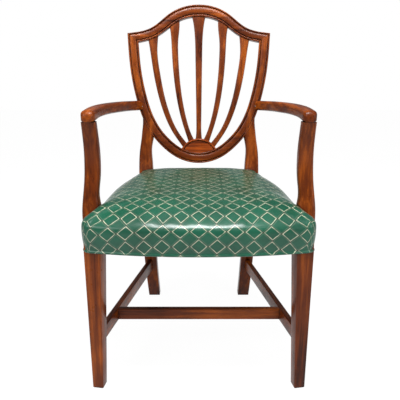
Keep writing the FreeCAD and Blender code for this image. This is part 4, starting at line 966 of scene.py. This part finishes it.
# Pieces
class ARMCHAIR_OT_back_posts(bpy.types.Operator):
    """Back posts, each from the floor to the shoulder of the shield"""

    bl_idname = "armchair.back_posts"
    bl_label = "Back Posts"

    def execute(self, context):
        rows = []
        for z in (0.0, 60.0, 125.0, 190.0, 250.0, 310.0, KNEE, RAIL_TOP):
            share = min(z / KNEE, 1.0)
            outer = POST_OUTER - 13.5 * (1 - share) ** 1.3
            rows.append((z, outer, 38.0 + 6.0 * share, post_front_at(z), 33.0 + 3.0 * share, 1.8, 1.8))
        rows[-1] = rows[-1][:6] + (8.0,)
        for t, outer, width, depth in NECK:
            front = (on_shield(outer - width / 2, t, 3.0) - Vector((0, FRONT_Y, 0))) / MM
            inner_round = 12.0 if t < 100 else 6.0
            rows.append((front.z, outer, width, front.y, depth / math.cos(LEAN), 4.0, inner_round))
        rings = []
        for z, outer, width, front, depth, outer_round, inner_round in smooth_rows(rows, 54, 1):
            corners = upright_corners(outer, outer - width, front, front + depth, z)
            radii = [outer_round * MM, outer_round * 0.7 * MM, outer_round * 0.7 * MM, inner_round * MM]
            rings.append(rounded_box_ring(corners, radii, 4))
        post = draw_through("back_post_right", rings)
        centre = len(OUTLINE_RIGHT) - 1
        edge = smooth_rows(OUTLINE, 34, 2, centre + JOINT, None, 40.0)
        side = draw_through("shield_side", member_rings(edge) + [mitre_ring(1)])
        apply_modifier(post, "BOOLEAN", operation="UNION", solver="EXACT", object=side)
        bpy.data.objects.remove(side)
        finish_pair(post, "back_post", mahogany("upright"))
        return {"FINISHED"}


class ARMCHAIR_OT_shield_bowl(bpy.types.Operator):
    """Moulded bowl of the shield between the two posts"""

    bl_idname = "armchair.shield_bowl"
    bl_label = "Shield Bowl"

    def execute(self, context):
        centre = len(OUTLINE_RIGHT) - 1
        edge = smooth_rows(OUTLINE, 57, 2, centre - JOINT, centre + JOINT)
        wood_piece("shield_bowl_rail", member_rings(edge), "across")
        return {"FINISHED"}


class ARMCHAIR_OT_crest(bpy.types.Operator):
    """Moulded crest rail, mitred to the posts at both shoulders"""

    bl_idname = "armchair.crest"
    bl_label = "Crest Rail"

    def execute(self, context):
        count = 65
        edge = smooth_rows(CREST, count)
        middle = context.scene.armchair_shield.crest_width / MM
        ends = 30.5
        widths = []
        for index in range(count):
            widths.append(ends + (middle - ends) * math.sin(math.pi * index / (count - 1)) ** 2)
        rings = [mitre_ring(1)] + member_rings(edge, widths) + [mitre_ring(-1)]
        wood_piece("crest_rail", rings, "across")
        return {"FINISHED"}


class ARMCHAIR_OT_lunette(bpy.types.Operator):
    """Half round with a raised rim, standing on the bowl"""

    bl_idname = "armchair.lunette"
    bl_label = "Lunette"

    def execute(self, context):
        radius = context.scene.armchair_shield.lunette_radius / MM
        centre = on_shield(0.0, 15.5)
        up = Vector((0, math.sin(LEAN), math.cos(LEAN)))
        back = Vector((0, math.cos(LEAN), -math.sin(LEAN)))
        field = 4.6
        profile = [(0.6, field - 0.9), (radius * 0.35, field - 0.8), (radius * 0.7, field - 0.3)]
        profile += [(radius - 8.6, field), (radius - 8.2, 6.6), (radius - 7.0, 6.6)]
        for step in range(7):
            angle = math.pi * step / 6
            profile.append((radius - 3.5 - 3.3 * math.cos(angle), 4.6 - 2.9 * math.sin(angle)))
        profile += [(radius, 5.6), (radius, 16.4), (radius - 1.0, 17.6), (radius * 0.5, 17.6), (0.6, 17.6)]
        rings = []
        for r, depth in profile:
            ring = []
            for index in range(96):
                angle = 2 * math.pi * index / 96
                side = Vector((1, 0, 0)) * math.cos(angle) + up * math.sin(angle)
                ring.append(centre + side * (r * MM) + back * (depth * MM))
            rings.append(ring)
        lunette = draw_through("lunette", rings)
        choose(lunette)
        bpy.ops.object.mode_set(mode="EDIT")
        bpy.ops.mesh.select_all(action="SELECT")
        bpy.ops.mesh.bisect(plane_co=on_shield(0.0, 18.0), plane_no=up, use_fill=True, clear_inner=True)
        bpy.ops.object.mode_set(mode="OBJECT")
        # The lunette's wood is 2.4 times brighter, painted light for the light it catches.
        finish_piece(lunette, mahogany("across", 2.4), ["lunette"])
        return {"FINISHED"}


class ARMCHAIR_OT_splats(bpy.types.Operator):
    """Five splats flaring from the lunette into the crest"""

    bl_idname = "armchair.splats"
    bl_label = "Splats"

    def execute(self, context):
        sizes = context.scene.armchair_shield
        face = sizes.splat_setback / MM
        rear = face + sizes.splat_depth / MM
        for name, rows in SPLATS.items():
            path = smooth_rows(rows, 38)
            rings = []
            for index, (u, t, width) in enumerate(path):
                way = direction_at(path, index)
                origin, across, back = shield_frame(u, t, (-way.y, way.x))
                half = width / 2
                side = [
                    (half - 1.4, rear), (half, rear - 1.4), (half, face + 2.2), (half - 0.5, face + 1.1),
                    (half - 1.7, face + 0.35), (half * 0.55, face - 0.1),
                ]
                outline = side + [(0.0, face - 0.25)] + [(-x, depth) for x, depth in reversed(side)]
                rings.append([origin + across * (x * MM) + back * (depth * MM) for x, depth in outline])
            if name == "splat_centre":
                wood_piece(name, rings, "upright")
            else:
                wood_pair(name, rings, "upright")
        return {"FINISHED"}


def squarish(part):
    """A sine or cosine pushed outwards, so that a round becomes squarish."""
    return math.copysign(abs(part) ** 0.62, part)


class ARMCHAIR_OT_arms(bpy.types.Operator):
    """Arms sweeping forward and out to rounded knuckles"""

    bl_idname = "armchair.arms"
    bl_label = "Arms"

    def execute(self, context):
        sizes = context.scene.armchair_frame
        height = sizes.arm_height / MM
        front = sizes.arm_width_front / MM
        rear = sizes.arm_width_back / MM
        count = 46
        path = smooth_rows(ARM_PATH, count, 3)
        stations = []
        for index, centre in enumerate(path):
            width = rear + (front - rear) * math.sin(index / (count - 1) * math.pi / 2)
            stations.append((Vector(centre), direction_at(path, index), width, height))
        way = stations[-1][1]
        for step in range(1, 11):
            angle = math.radians(84) * step / 10
            reach = 17.8 * math.sin(angle)
            left = squarish(math.cos(angle))
            centre = Vector(path[-1]) + Vector((way.x, way.y, 0)) * reach
            centre.z -= height * (1 - left) / 2 * 0.8
            stations.append((centre, way, front * left, height * left))
        rings = []
        for centre, way, width, tall in stations:
            across = Vector((way.y, -way.x, 0))
            ring = []
            for index in range(40):
                angle = 2 * math.pi * (index + 0.5) / 40
                x = squarish(math.cos(angle))
                z = squarish(math.sin(angle))
                if z < 0:
                    x = math.copysign(min(abs(x) * 1.1, 1.0), x)
                else:
                    z = z * 0.9 + 0.1 * (1 - abs(x))
                point = centre + across * (x * width / 2)
                ring.append(place(point.x, point.y, point.z + z * tall / 2))
            rings.append(ring)
        wood_pair("arm", rings, "back")
        return {"FINISHED"}


class ARMCHAIR_OT_arm_supports(bpy.types.Operator):
    """Curved arm supports fixed to the sides of the seat"""

    bl_idname = "armchair.arm_supports"
    bl_label = "Arm Supports"

    def execute(self, context):
        rings = []
        for z, x, y, width, depth in smooth_rows(SUPPORT, 42, 1):
            corners = upright_corners(x + width / 2, x - width / 2, y - depth / 2, y + depth / 2, z)
            radius = 8.5 if z > 392 else 7.0
            ring = rounded_box_ring(corners, [radius * MM] * 4, 5)
            give = max(z - RAIL_TOP, 0.0) * 1.5
            for point in ring:
                back = (point.y - FRONT_Y) / MM
                least = SEAT_HALF - back * math.tan(SPLAY) - give
                point.x = max(point.x, least * MM)
            rings.append(ring)
        wood_pair("arm_support", rings, "upright")
        return {"FINISHED"}


class ARMCHAIR_OT_front_legs(bpy.types.Operator):
    """Tapered front legs, square to the splayed sides"""

    bl_idname = "armchair.front_legs"
    bl_label = "Front Legs"

    def execute(self, context):
        sizes = context.scene.armchair_frame
        foot = sizes.leg_width_foot / MM
        top = sizes.leg_width_top / MM
        corner = Vector((SEAT_HALF, 0, 0))
        inward = Vector((-math.cos(SPLAY), -math.sin(SPLAY), 0))
        back = Vector((-math.sin(SPLAY), math.cos(SPLAY), 0))
        rings = []
        for z in (0.0, 1.2, 2.5, 60.0, 120.0, 180.0, 240.0, 310.0, SEAT_UNDER, 443.0):
            width = foot + (top - foot) * min(z / SEAT_UNDER, 1.0)
            near = max(2.5 - z, 0.0) * 0.9
            far = width - near
            square = [
                corner + inward * near + back * near, corner + inward * near + back * far,
                corner + inward * far + back * far, corner + inward * far + back * near,
            ]
            if z > 380:
                square = [point.lerp(corner + (inward + back) * width / 2, 0.12) for point in square]
            points = [place(point.x, point.y, z) for point in square]
            rings.append(rounded_box_ring(points, [1.5 * MM] * 4, 3))
        wood_pair("front_leg", rings, "upright")
        return {"FINISHED"}


class ARMCHAIR_OT_stretchers(bpy.types.Operator):
    """Two side stretchers and the cross stretcher between them"""

    bl_idname = "armchair.stretchers"
    bl_label = "Stretchers"

    def execute(self, context):
        sizes = context.scene.armchair_frame
        thick = sizes.stretcher_thickness / MM
        tall = sizes.stretcher_height / MM
        def middle_x(y):
            return SEAT_HALF - 8.0 - thick / 2 - y * STRETCHER_SLOPE

        def box_rings(start, end, across, height):
            rings = []
            side = across * (thick / 2)
            rise = Vector((0, 0, height / 2))
            for step in range(13):
                centre = start.lerp(end, step / 12)
                corners = [side + rise, side - rise, -side - rise, -side + rise]
                points = [place(*(centre + corner)) for corner in corners]
                rings.append(rounded_box_ring(points, [2.2 * MM, 1.2 * MM, 1.2 * MM, 2.2 * MM], 4))
            return rings

        front = 18.0
        rear = post_front_at(STRETCHER_Z) + 8.0
        start = Vector((middle_x(front), front, STRETCHER_Z))
        end = Vector((middle_x(rear), rear, STRETCHER_Z))
        across = (end - start).cross(Vector((0, 0, 1))).normalized()
        wood_pair("side_stretcher", box_rings(start, end, across, tall), "back")
        y = CROSS_FRONT + thick / 2
        reach = middle_x(y) - 2.0
        start = Vector((-reach, y, STRETCHER_Z))
        end = Vector((reach, y, STRETCHER_Z))
        wood_piece("cross_stretcher", box_rings(start, end, Vector((0, 1, 0)), CROSS_HEIGHT), "across")
        return {"FINISHED"}


def side_at(y, out):
    """Half width of the seat's side at y, at a distance out from the rails."""
    return SEAT_HALF - y * math.tan(SPLAY) + out / math.cos(SPLAY)


def bend(start, corner, end, count):
    """Points of a round bend from start towards end, without the first."""
    return [round_off(start, corner, end, step / count) for step in range(1, count + 1)]


def seat_half_outline(ahead, out, height):
    """Right half of the seat's outline, front middle to back middle, with the cloth's way down at each point.

    It stands ahead of the front rail and out from the side rails, and bulges along the sides."""
    corner = 16.0 + 6.0 * min(max(out + 18.0, 0.0), 20.0) / 20.0 + 0.5 * max(-18.0 - out, 0.0)
    radius = (SEAT_HALF ** 2 + SEAT_BOW ** 2) / (2 * SEAT_BOW)
    grown = radius + ahead
    centre_y = radius - SEAT_BOW
    half = SEAT_HALF + out
    for _ in range(6):
        end_y = centre_y - math.sqrt(grown ** 2 - half ** 2)
        half = side_at(end_y, out)
    reach = half - corner
    points = []
    for step in range(31):
        x = reach * step / 30
        points.append((Vector((x, centre_y - math.sqrt(grown ** 2 - x ** 2))), Vector((0, -1))))
    side_start = Vector((side_at(end_y + corner, out), end_y + corner))
    for index, point in enumerate(bend(points[-1][0], Vector((half, end_y)), side_start, 10)):
        angle = math.pi / 2 * (index + 1) / 10
        points.append((point, Vector((math.sin(angle), -math.cos(angle)))))
    back_y = POST_BACK + 4.5 + min(out - 4.5, 0.0) * 0.8
    high = min(max((-10.0 - out) / 24.0, 0.0), 1.0)
    turn_y = 450.0 + (back_y - 36.0 - 450.0) * high
    bulge = BULGE * math.exp(-((height - BULGE_Z) / BULGE_REACH) ** 2)
    for step in range(1, 27):
        y = side_start.y + (turn_y - side_start.y) * step / 26
        share = min(max((y - 146.0) / 312.0, 0.0), 1.0)
        bow = bulge * math.sin(math.pi * share ** 1.15) ** 1.2
        points.append((Vector((side_at(y, out) + bow, y)), Vector((1, 0))))
    tuck = [
        Vector((side_at(456.0, out) - 0.6, 456.0)), Vector((side_at(459.0, out) - 5.0, 460.0)),
        Vector((186.0, 464.5)), Vector((177.0, 472.0)), Vector((167.0, 478.0)), Vector((157.0, 484.0)),
        Vector((148.6, 491.0)), Vector((146.2, 497.5)), Vector((139.0, back_y)),
    ]
    last = points[-1][0]
    back_x = side_at(back_y, out)
    rounded = bend(last, Vector((back_x, back_y)), Vector((back_x - 40.0, back_y)), 9)
    for index in range(9):
        angle = math.pi / 2 * (index + 1) / 9
        way = Vector((math.cos(angle), math.sin(angle)))
        points.append((tuck[index].lerp(rounded[index], high), way))
    last = points[-1][0]
    for step in range(1, 17):
        points.append((Vector((last.x * (1 - step / 16), back_y)), Vector((0, 1))))
    return points


def seat_ring(ahead, out, height):
    """Whole outline of the seat at a height."""
    right = seat_half_outline(ahead, out, height)
    left = [(Vector((-point.x, point.y)), Vector((-way.x, way.y))) for point, way in reversed(right[1:-1])]
    return right + left


class ARMCHAIR_OT_seat_cover(bpy.types.Operator):
    """Stuffed-over seat: patterned cover, swollen over its padding, with a turned hem"""

    bl_idname = "armchair.seat_cover"
    bl_label = "Seat Cover"

    def execute(self, context):
        outlines = [(z, seat_ring(ahead, out, z)) for z, ahead, out in COVER_ROWS]
        top_z, top = outlines[-1]
        for share in CROWN_SHARES:
            ring = [(COVER_MIDDLE.lerp(point, share), way) for point, way in top]
            outlines.append((top_z + CROWN_RISE * (1 - share ** 2), ring))
        rings = []
        for z, ring in outlines:
            points = []
            for point, way in ring:
                lift = 0.0
                if z > 460:
                    lump = Vector((point.x * 0.011, point.y * 0.011, 0.4))
                    lift = 1.1 * noise.noise(lump) + 0.35 * noise.noise(lump * 3.1)
                near_support = math.exp(-((point.y - 122.0) / 26.0) ** 2) * min(abs(way.x), 1.0)
                pinch = 2.6 * near_support if 385 < z < 470 else 0.0
                points.append(place(point.x - math.copysign(pinch, point.x), point.y, z + lift))
            rings.append(points)
        cover = draw_through("seat_cover", rings, closed=False)
        self.map_cloth(cover, outlines)
        self.settle(context, cover)
        apply_modifier(cover, "SUBSURF", levels=1, render_levels=1)
        bpy.ops.object.mode_set(mode="EDIT")
        bpy.ops.mesh.select_all(action="SELECT")
        bpy.ops.mesh.fill_holes(sides=0)
        face_outwards()
        hidden = ["seat_cover", "seat_stuffing", "hessian", "webbing_front_to_back", "webbing_side_to_side"]
        finish_piece(cover, seat_cloth(), hidden, SOFT_ANGLE)
        return {"FINISHED"}

    def map_cloth(self, cover, outlines):
        """Lay the pattern flat on top, then straight down the front, sides and back from the shoulder."""
        count = len(outlines[0][1])
        places = [None] * (count * len(outlines))
        for column in range(count):
            fold_point, way = outlines[FOLD_ROW][1][column]
            run = 0.0
            for row in range(FOLD_ROW, -1, -1):
                if row < FOLD_ROW:
                    above_z, above = outlines[row + 1]
                    z, ring = outlines[row]
                    run += math.hypot(above_z - z, (ring[column][0] - above[column][0]).length)
                places[row * count + column] = fold_point + way * run
            for row in range(FOLD_ROW + 1, len(outlines)):
                places[row * count + column] = outlines[row][1][column][0]
        layer = cover.data.uv_layers.new(name="cloth")
        for loop in cover.data.loops:
            layer.data[loop.index].uv = places[loop.vertex_index] * MM

    def settle(self, context, cover):
        """Swell the cover over its padding with a short cloth run, its hem and post tucks held."""
        settings = context.scene.armchair_cover
        ways = [way for point, way in seat_ring(0.0, 0.0, RAIL_TOP)]
        count = len(ways)
        held = cover.vertex_groups.new(name="held")
        for vertex in cover.data.vertices:
            row, column = divmod(vertex.index, count)
            from_front = min(column, count - column)
            tucked = 64 < from_front < 80 and row < FOLD_ROW + 3
            if row < HEM_ROWS or tucked:
                held.add([vertex.index], 1.0, "REPLACE")
            elif row < HEM_ROWS + 3:
                held.add([vertex.index], 0.5, "REPLACE")
        before = [vertex.co.copy() for vertex in cover.data.vertices]
        choose(cover)
        bpy.ops.object.modifier_add(type="CLOTH")
        cloth = cover.modifiers[-1]
        for name, value in PADDING_CLOTH.items():
            setattr(cloth.settings, name, value)
        cloth.settings.effector_weights.gravity = 0.0
        cloth.collision_settings.use_collision = False
        for number in range(1, settings.frames + 1):
            context.scene.frame_set(number)
        bpy.ops.object.modifier_apply(modifier=cloth.name)
        context.scene.frame_set(1)
        for vertex, old in zip(cover.data.vertices, before):
            move = vertex.co - old
            row, column = divmod(vertex.index, count)
            way = Vector((ways[column].x, ways[column].y, 0.0))
            if row < FOLD_ROW and move.dot(way) < 0:
                move -= way * move.dot(way)
            if move.length > settings.swell:
                move = move.normalized() * settings.swell
            vertex.co = old + move


class ARMCHAIR_OT_underside(bpy.types.Operator):
    """Black cloth tacked under the seat"""

    bl_idname = "armchair.underside"
    bl_label = "Underside"

    def execute(self, context):
        outer = [point for point, way in seat_ring(-9.0, -9.0, 376.0)]
        rings = []
        for share in (1.0, 0.97, 0.9, 0.75, 0.55, 0.35, 0.15, 0.03):
            height = UNDER_Z - UNDER_SAG * (1 - share ** 2)
            ring = [UNDER_MIDDLE.lerp(point, share) for point in outer]
            rings.append([place(point.x, point.y, height) for point in ring])
        cloth = draw_through("bottom_cloth", rings, closed=False)
        choose(cloth)
        bpy.ops.object.mode_set(mode="EDIT")
        cap(cloth, slice(-len(outer), None))
        bpy.ops.object.mode_set(mode="OBJECT")
        apply_modifier(cloth, "SOLIDIFY", thickness=0.6 * MM, offset=0.0)
        black = (0.010, 0.010, 0.011)
        faded = (0.024, 0.023, 0.022)
        cambric = plain_material("black_cambric", black, faded, (30, 30, 30), 0.85, weave=0.9 * MM)
        finish_piece(cloth, cambric, ["bottom_cloth"], SOFT_ANGLE)
        self.tacks(outer)
        return {"FINISHED"}

    def tacks(self, outer):
        """Small domed tacks along the edge of the cloth."""
        spots = []
        run = 0.0
        for first, second in zip(outer, outer[1:] + outer[:1]):
            length = (second - first).length
            while run < length:
                spots.append(first.lerp(second, run / length))
                run += TACK_PITCH
            run -= length
        rows = []
        for spot in spots:
            row = spot.lerp(UNDER_MIDDLE, 0.022)
            under_leg = abs(row.x) > 225 and row.y < 45
            under_post = abs(row.x) > 138 and row.y > 448
            if not under_leg and not under_post:
                rows.append(row)
        base = rows[0]
        rings = []
        for radius, drop in ((0.4, 1.5), (1.9, 1.2), (3.0, 0.4), (3.2, -0.4)):
            ring = []
            for index in range(8):
                angle = index * math.pi / 4
                across = Vector((math.cos(angle), math.sin(angle))) * radius
                ring.append(place(base.x + across.x, base.y + across.y, UNDER_Z - 0.5 - drop))
            rings.append(ring)
        head = draw_through("bottom_cloth_tacks", rings)
        heads = [head]
        for row in rows[1:]:
            choose(head)
            bpy.ops.object.duplicate(linked=False)
            bpy.ops.transform.translate(value=((row.x - base.x) * MM, (row.y - base.y) * MM, 0.0))
            heads.append(bpy.context.object)
        deselect()
        for copy in heads:
            copy.select_set(True)
        bpy.context.view_layer.objects.active = head
        bpy.ops.object.join()
        dark = (0.10, 0.10, 0.11)
        pale = (0.22, 0.21, 0.20)
        blued = plain_material("blued_steel", dark, pale, (300, 300, 300), 0.4, 0.9)
        finish_piece(head, blued, [], SOFT_ANGLE)


class ARMCHAIR_OT_hidden_parts(bpy.types.Operator):
    """Finish of the seat frame, dowels and screws inside the chair"""

    bl_idname = "armchair.hidden_parts"
    bl_label = "Hidden Parts"

    def execute(self, context):
        pale_beech = (0.36, 0.22, 0.11), (0.52, 0.35, 0.19)
        bright_steel = (0.42, 0.40, 0.37), (0.60, 0.58, 0.54)
        beech = plain_material("seat_frame_beech", *pale_beech, (8, 90, 90), 0.6)
        steel = plain_material("screw_steel", *bright_steel, (200, 200, 200), 0.35, 1.0)
        for name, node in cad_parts.items():
            if node.hide_render:
                continue
            node.data.materials.clear()
            node.data.materials.append(steel if "screws" in name else beech)
        return {"FINISHED"}


class ARMCHAIR_OT_stage(bpy.types.Operator):
    """Pale floor, soft light and the camera"""

    bl_idname = "armchair.stage"
    bl_label = "Stage"

    def execute(self, context):
        settings = context.scene.armchair_stage
        deselect()
        bpy.ops.mesh.primitive_plane_add(size=14.0, location=(0, 0, 0))
        floor = context.object
        floor.name = "floor"
        floor.data.materials.append(self.backdrop(settings))
        self.surround(context)
        for name, location, target, size, power in LAMPS:
            self.lamp(name, location, target, size, power)
        bpy.ops.object.camera_add(
            location=(0.0, -settings.distance, settings.height),
            rotation=(math.pi / 2 - settings.tilt, 0.0, 0.0),
        )
        camera = context.object
        camera.name = "camera"
        camera.data.lens = settings.lens
        camera.data.sensor_width = 36.0
        camera.data.shift_x = 0.003
        camera.data.shift_y = 0.0139
        camera.data.dof.use_dof = False
        context.scene.camera = camera
        context.scene.view_settings.view_transform = "Standard"
        return {"FINISHED"}

    def backdrop(self, settings):
        """Floor that the camera sees nearly white, with the chair's shadow left on it."""
        material, tree, shader = new_material("pale_floor")
        where = add_node(tree, "ShaderNodeTexCoord")
        grain = noise_at(tree, where.outputs["Object"], 40.0, 3.0)
        paler = opaque(min(1.0, part * 1.02) for part in settings.floor)
        tree.links.new(blend_colour(tree, grain, opaque(settings.floor), paler), shader.inputs["Base Color"])
        shader.inputs["Roughness"].default_value = 0.9
        shader.inputs["Specular IOR Level"].default_value = 0.0
        glow = add_node(tree, "ShaderNodeEmission")
        glow.inputs["Strength"].default_value = FLOOR_GLOW
        rays = add_node(tree, "ShaderNodeLightPath")
        seen = calc(tree, "MAXIMUM", rays.outputs["Is Camera Ray"], rays.outputs["Is Glossy Ray"])
        seen = product(tree, calc(tree, "MAXIMUM", seen, rays.outputs["Is Transmission Ray"]), GLOW_SHARE)
        mix = add_node(tree, "ShaderNodeMixShader")
        output = next(node for node in tree.nodes if node.type == "OUTPUT_MATERIAL")
        tree.links.new(seen, mix.inputs[0])
        tree.links.new(shader.outputs[0], mix.inputs[1])
        tree.links.new(glow.outputs[0], mix.inputs[2])
        tree.links.new(mix.outputs[0], output.inputs["Surface"])
        return material

    def surround(self, context):
        """White surround for the camera, a plain soft light for everything else."""
        world = bpy.data.worlds.new("studio")
        context.scene.world = world
        world.use_nodes = True
        tree = world.node_tree
        ground = tree.nodes["Background"]
        ground.inputs["Color"].default_value = (1.0, 1.0, 1.0, 1.0)
        rays = add_node(tree, "ShaderNodeLightPath")
        seen = calc(tree, "MAXIMUM", rays.outputs["Is Camera Ray"], rays.outputs["Is Transmission Ray"])
        strength = spread(tree, seen, 0.0, 1.0, SURROUND_LIGHT, 1.0)
        tree.links.new(strength, ground.inputs["Strength"])

    def lamp(self, name, location, target, size, power):
        """Soft rectangular lamp aimed at a point, not seen by the camera."""
        bpy.ops.object.light_add(type="AREA", location=location)
        lamp = bpy.context.object
        lamp.name = name
        lamp.data.shape = "RECTANGLE"
        lamp.data.size = size[0]
        lamp.data.size_y = size[1]
        lamp.data.energy = power
        lamp.visible_camera = False
        lamp.rotation_euler = (Vector(target) - Vector(location)).to_track_quat("-Z", "Y").to_euler()


class ARMCHAIR_PT_build(bpy.types.Panel):
    """Settings and pieces of the armchair"""

    bl_label = "Shield Back Armchair"
    bl_idname = "ARMCHAIR_PT_build"
    bl_space_type = "VIEW_3D"
    bl_region_type = "UI"
    bl_category = "Armchair"

    def draw(self, context):
        layout = self.layout
        for group in SETTINGS:
            box = layout.box()
            values = getattr(context.scene, group)
            for name in type(values).__annotations__:
                box.prop(values, name)
        for operator in OPERATORS:
            layout.operator(operator.bl_idname)


SETTINGS = {
    "armchair_shield": ArmchairShieldSettings,
    "armchair_frame": ArmchairFrameSettings,
    "armchair_wood": ArmchairWoodSettings,
    "armchair_cover": ArmchairCoverSettings,
    "armchair_stage": ArmchairStageSettings,
}
OPERATORS = (
    ARMCHAIR_OT_stage,
    ARMCHAIR_OT_back_posts,
    ARMCHAIR_OT_shield_bowl,
    ARMCHAIR_OT_crest,
    ARMCHAIR_OT_lunette,
    ARMCHAIR_OT_splats,
    ARMCHAIR_OT_arms,
    ARMCHAIR_OT_arm_supports,
    ARMCHAIR_OT_front_legs,
    ARMCHAIR_OT_stretchers,
    ARMCHAIR_OT_seat_cover,
    ARMCHAIR_OT_underside,
    ARMCHAIR_OT_hidden_parts,
)


def register():
    for name, group in SETTINGS.items():
        bpy.utils.register_class(group)
        setattr(bpy.types.Scene, name, PointerProperty(type=group))
    for operator in OPERATORS:
        bpy.utils.register_class(operator)
    bpy.utils.register_class(ARMCHAIR_PT_build)


def unregister():
    bpy.utils.unregister_class(ARMCHAIR_PT_build)
    for operator in reversed(OPERATORS):
        bpy.utils.unregister_class(operator)
    for name, group in SETTINGS.items():
        delattr(bpy.types.Scene, name)
        bpy.utils.unregister_class(group)


def main():
    register()
    for operator in OPERATORS:
        section, call = operator.bl_idname.split(".")
        getattr(getattr(bpy.ops, section), call)()
    deselect()


if __name__ == "__main__":
    main()
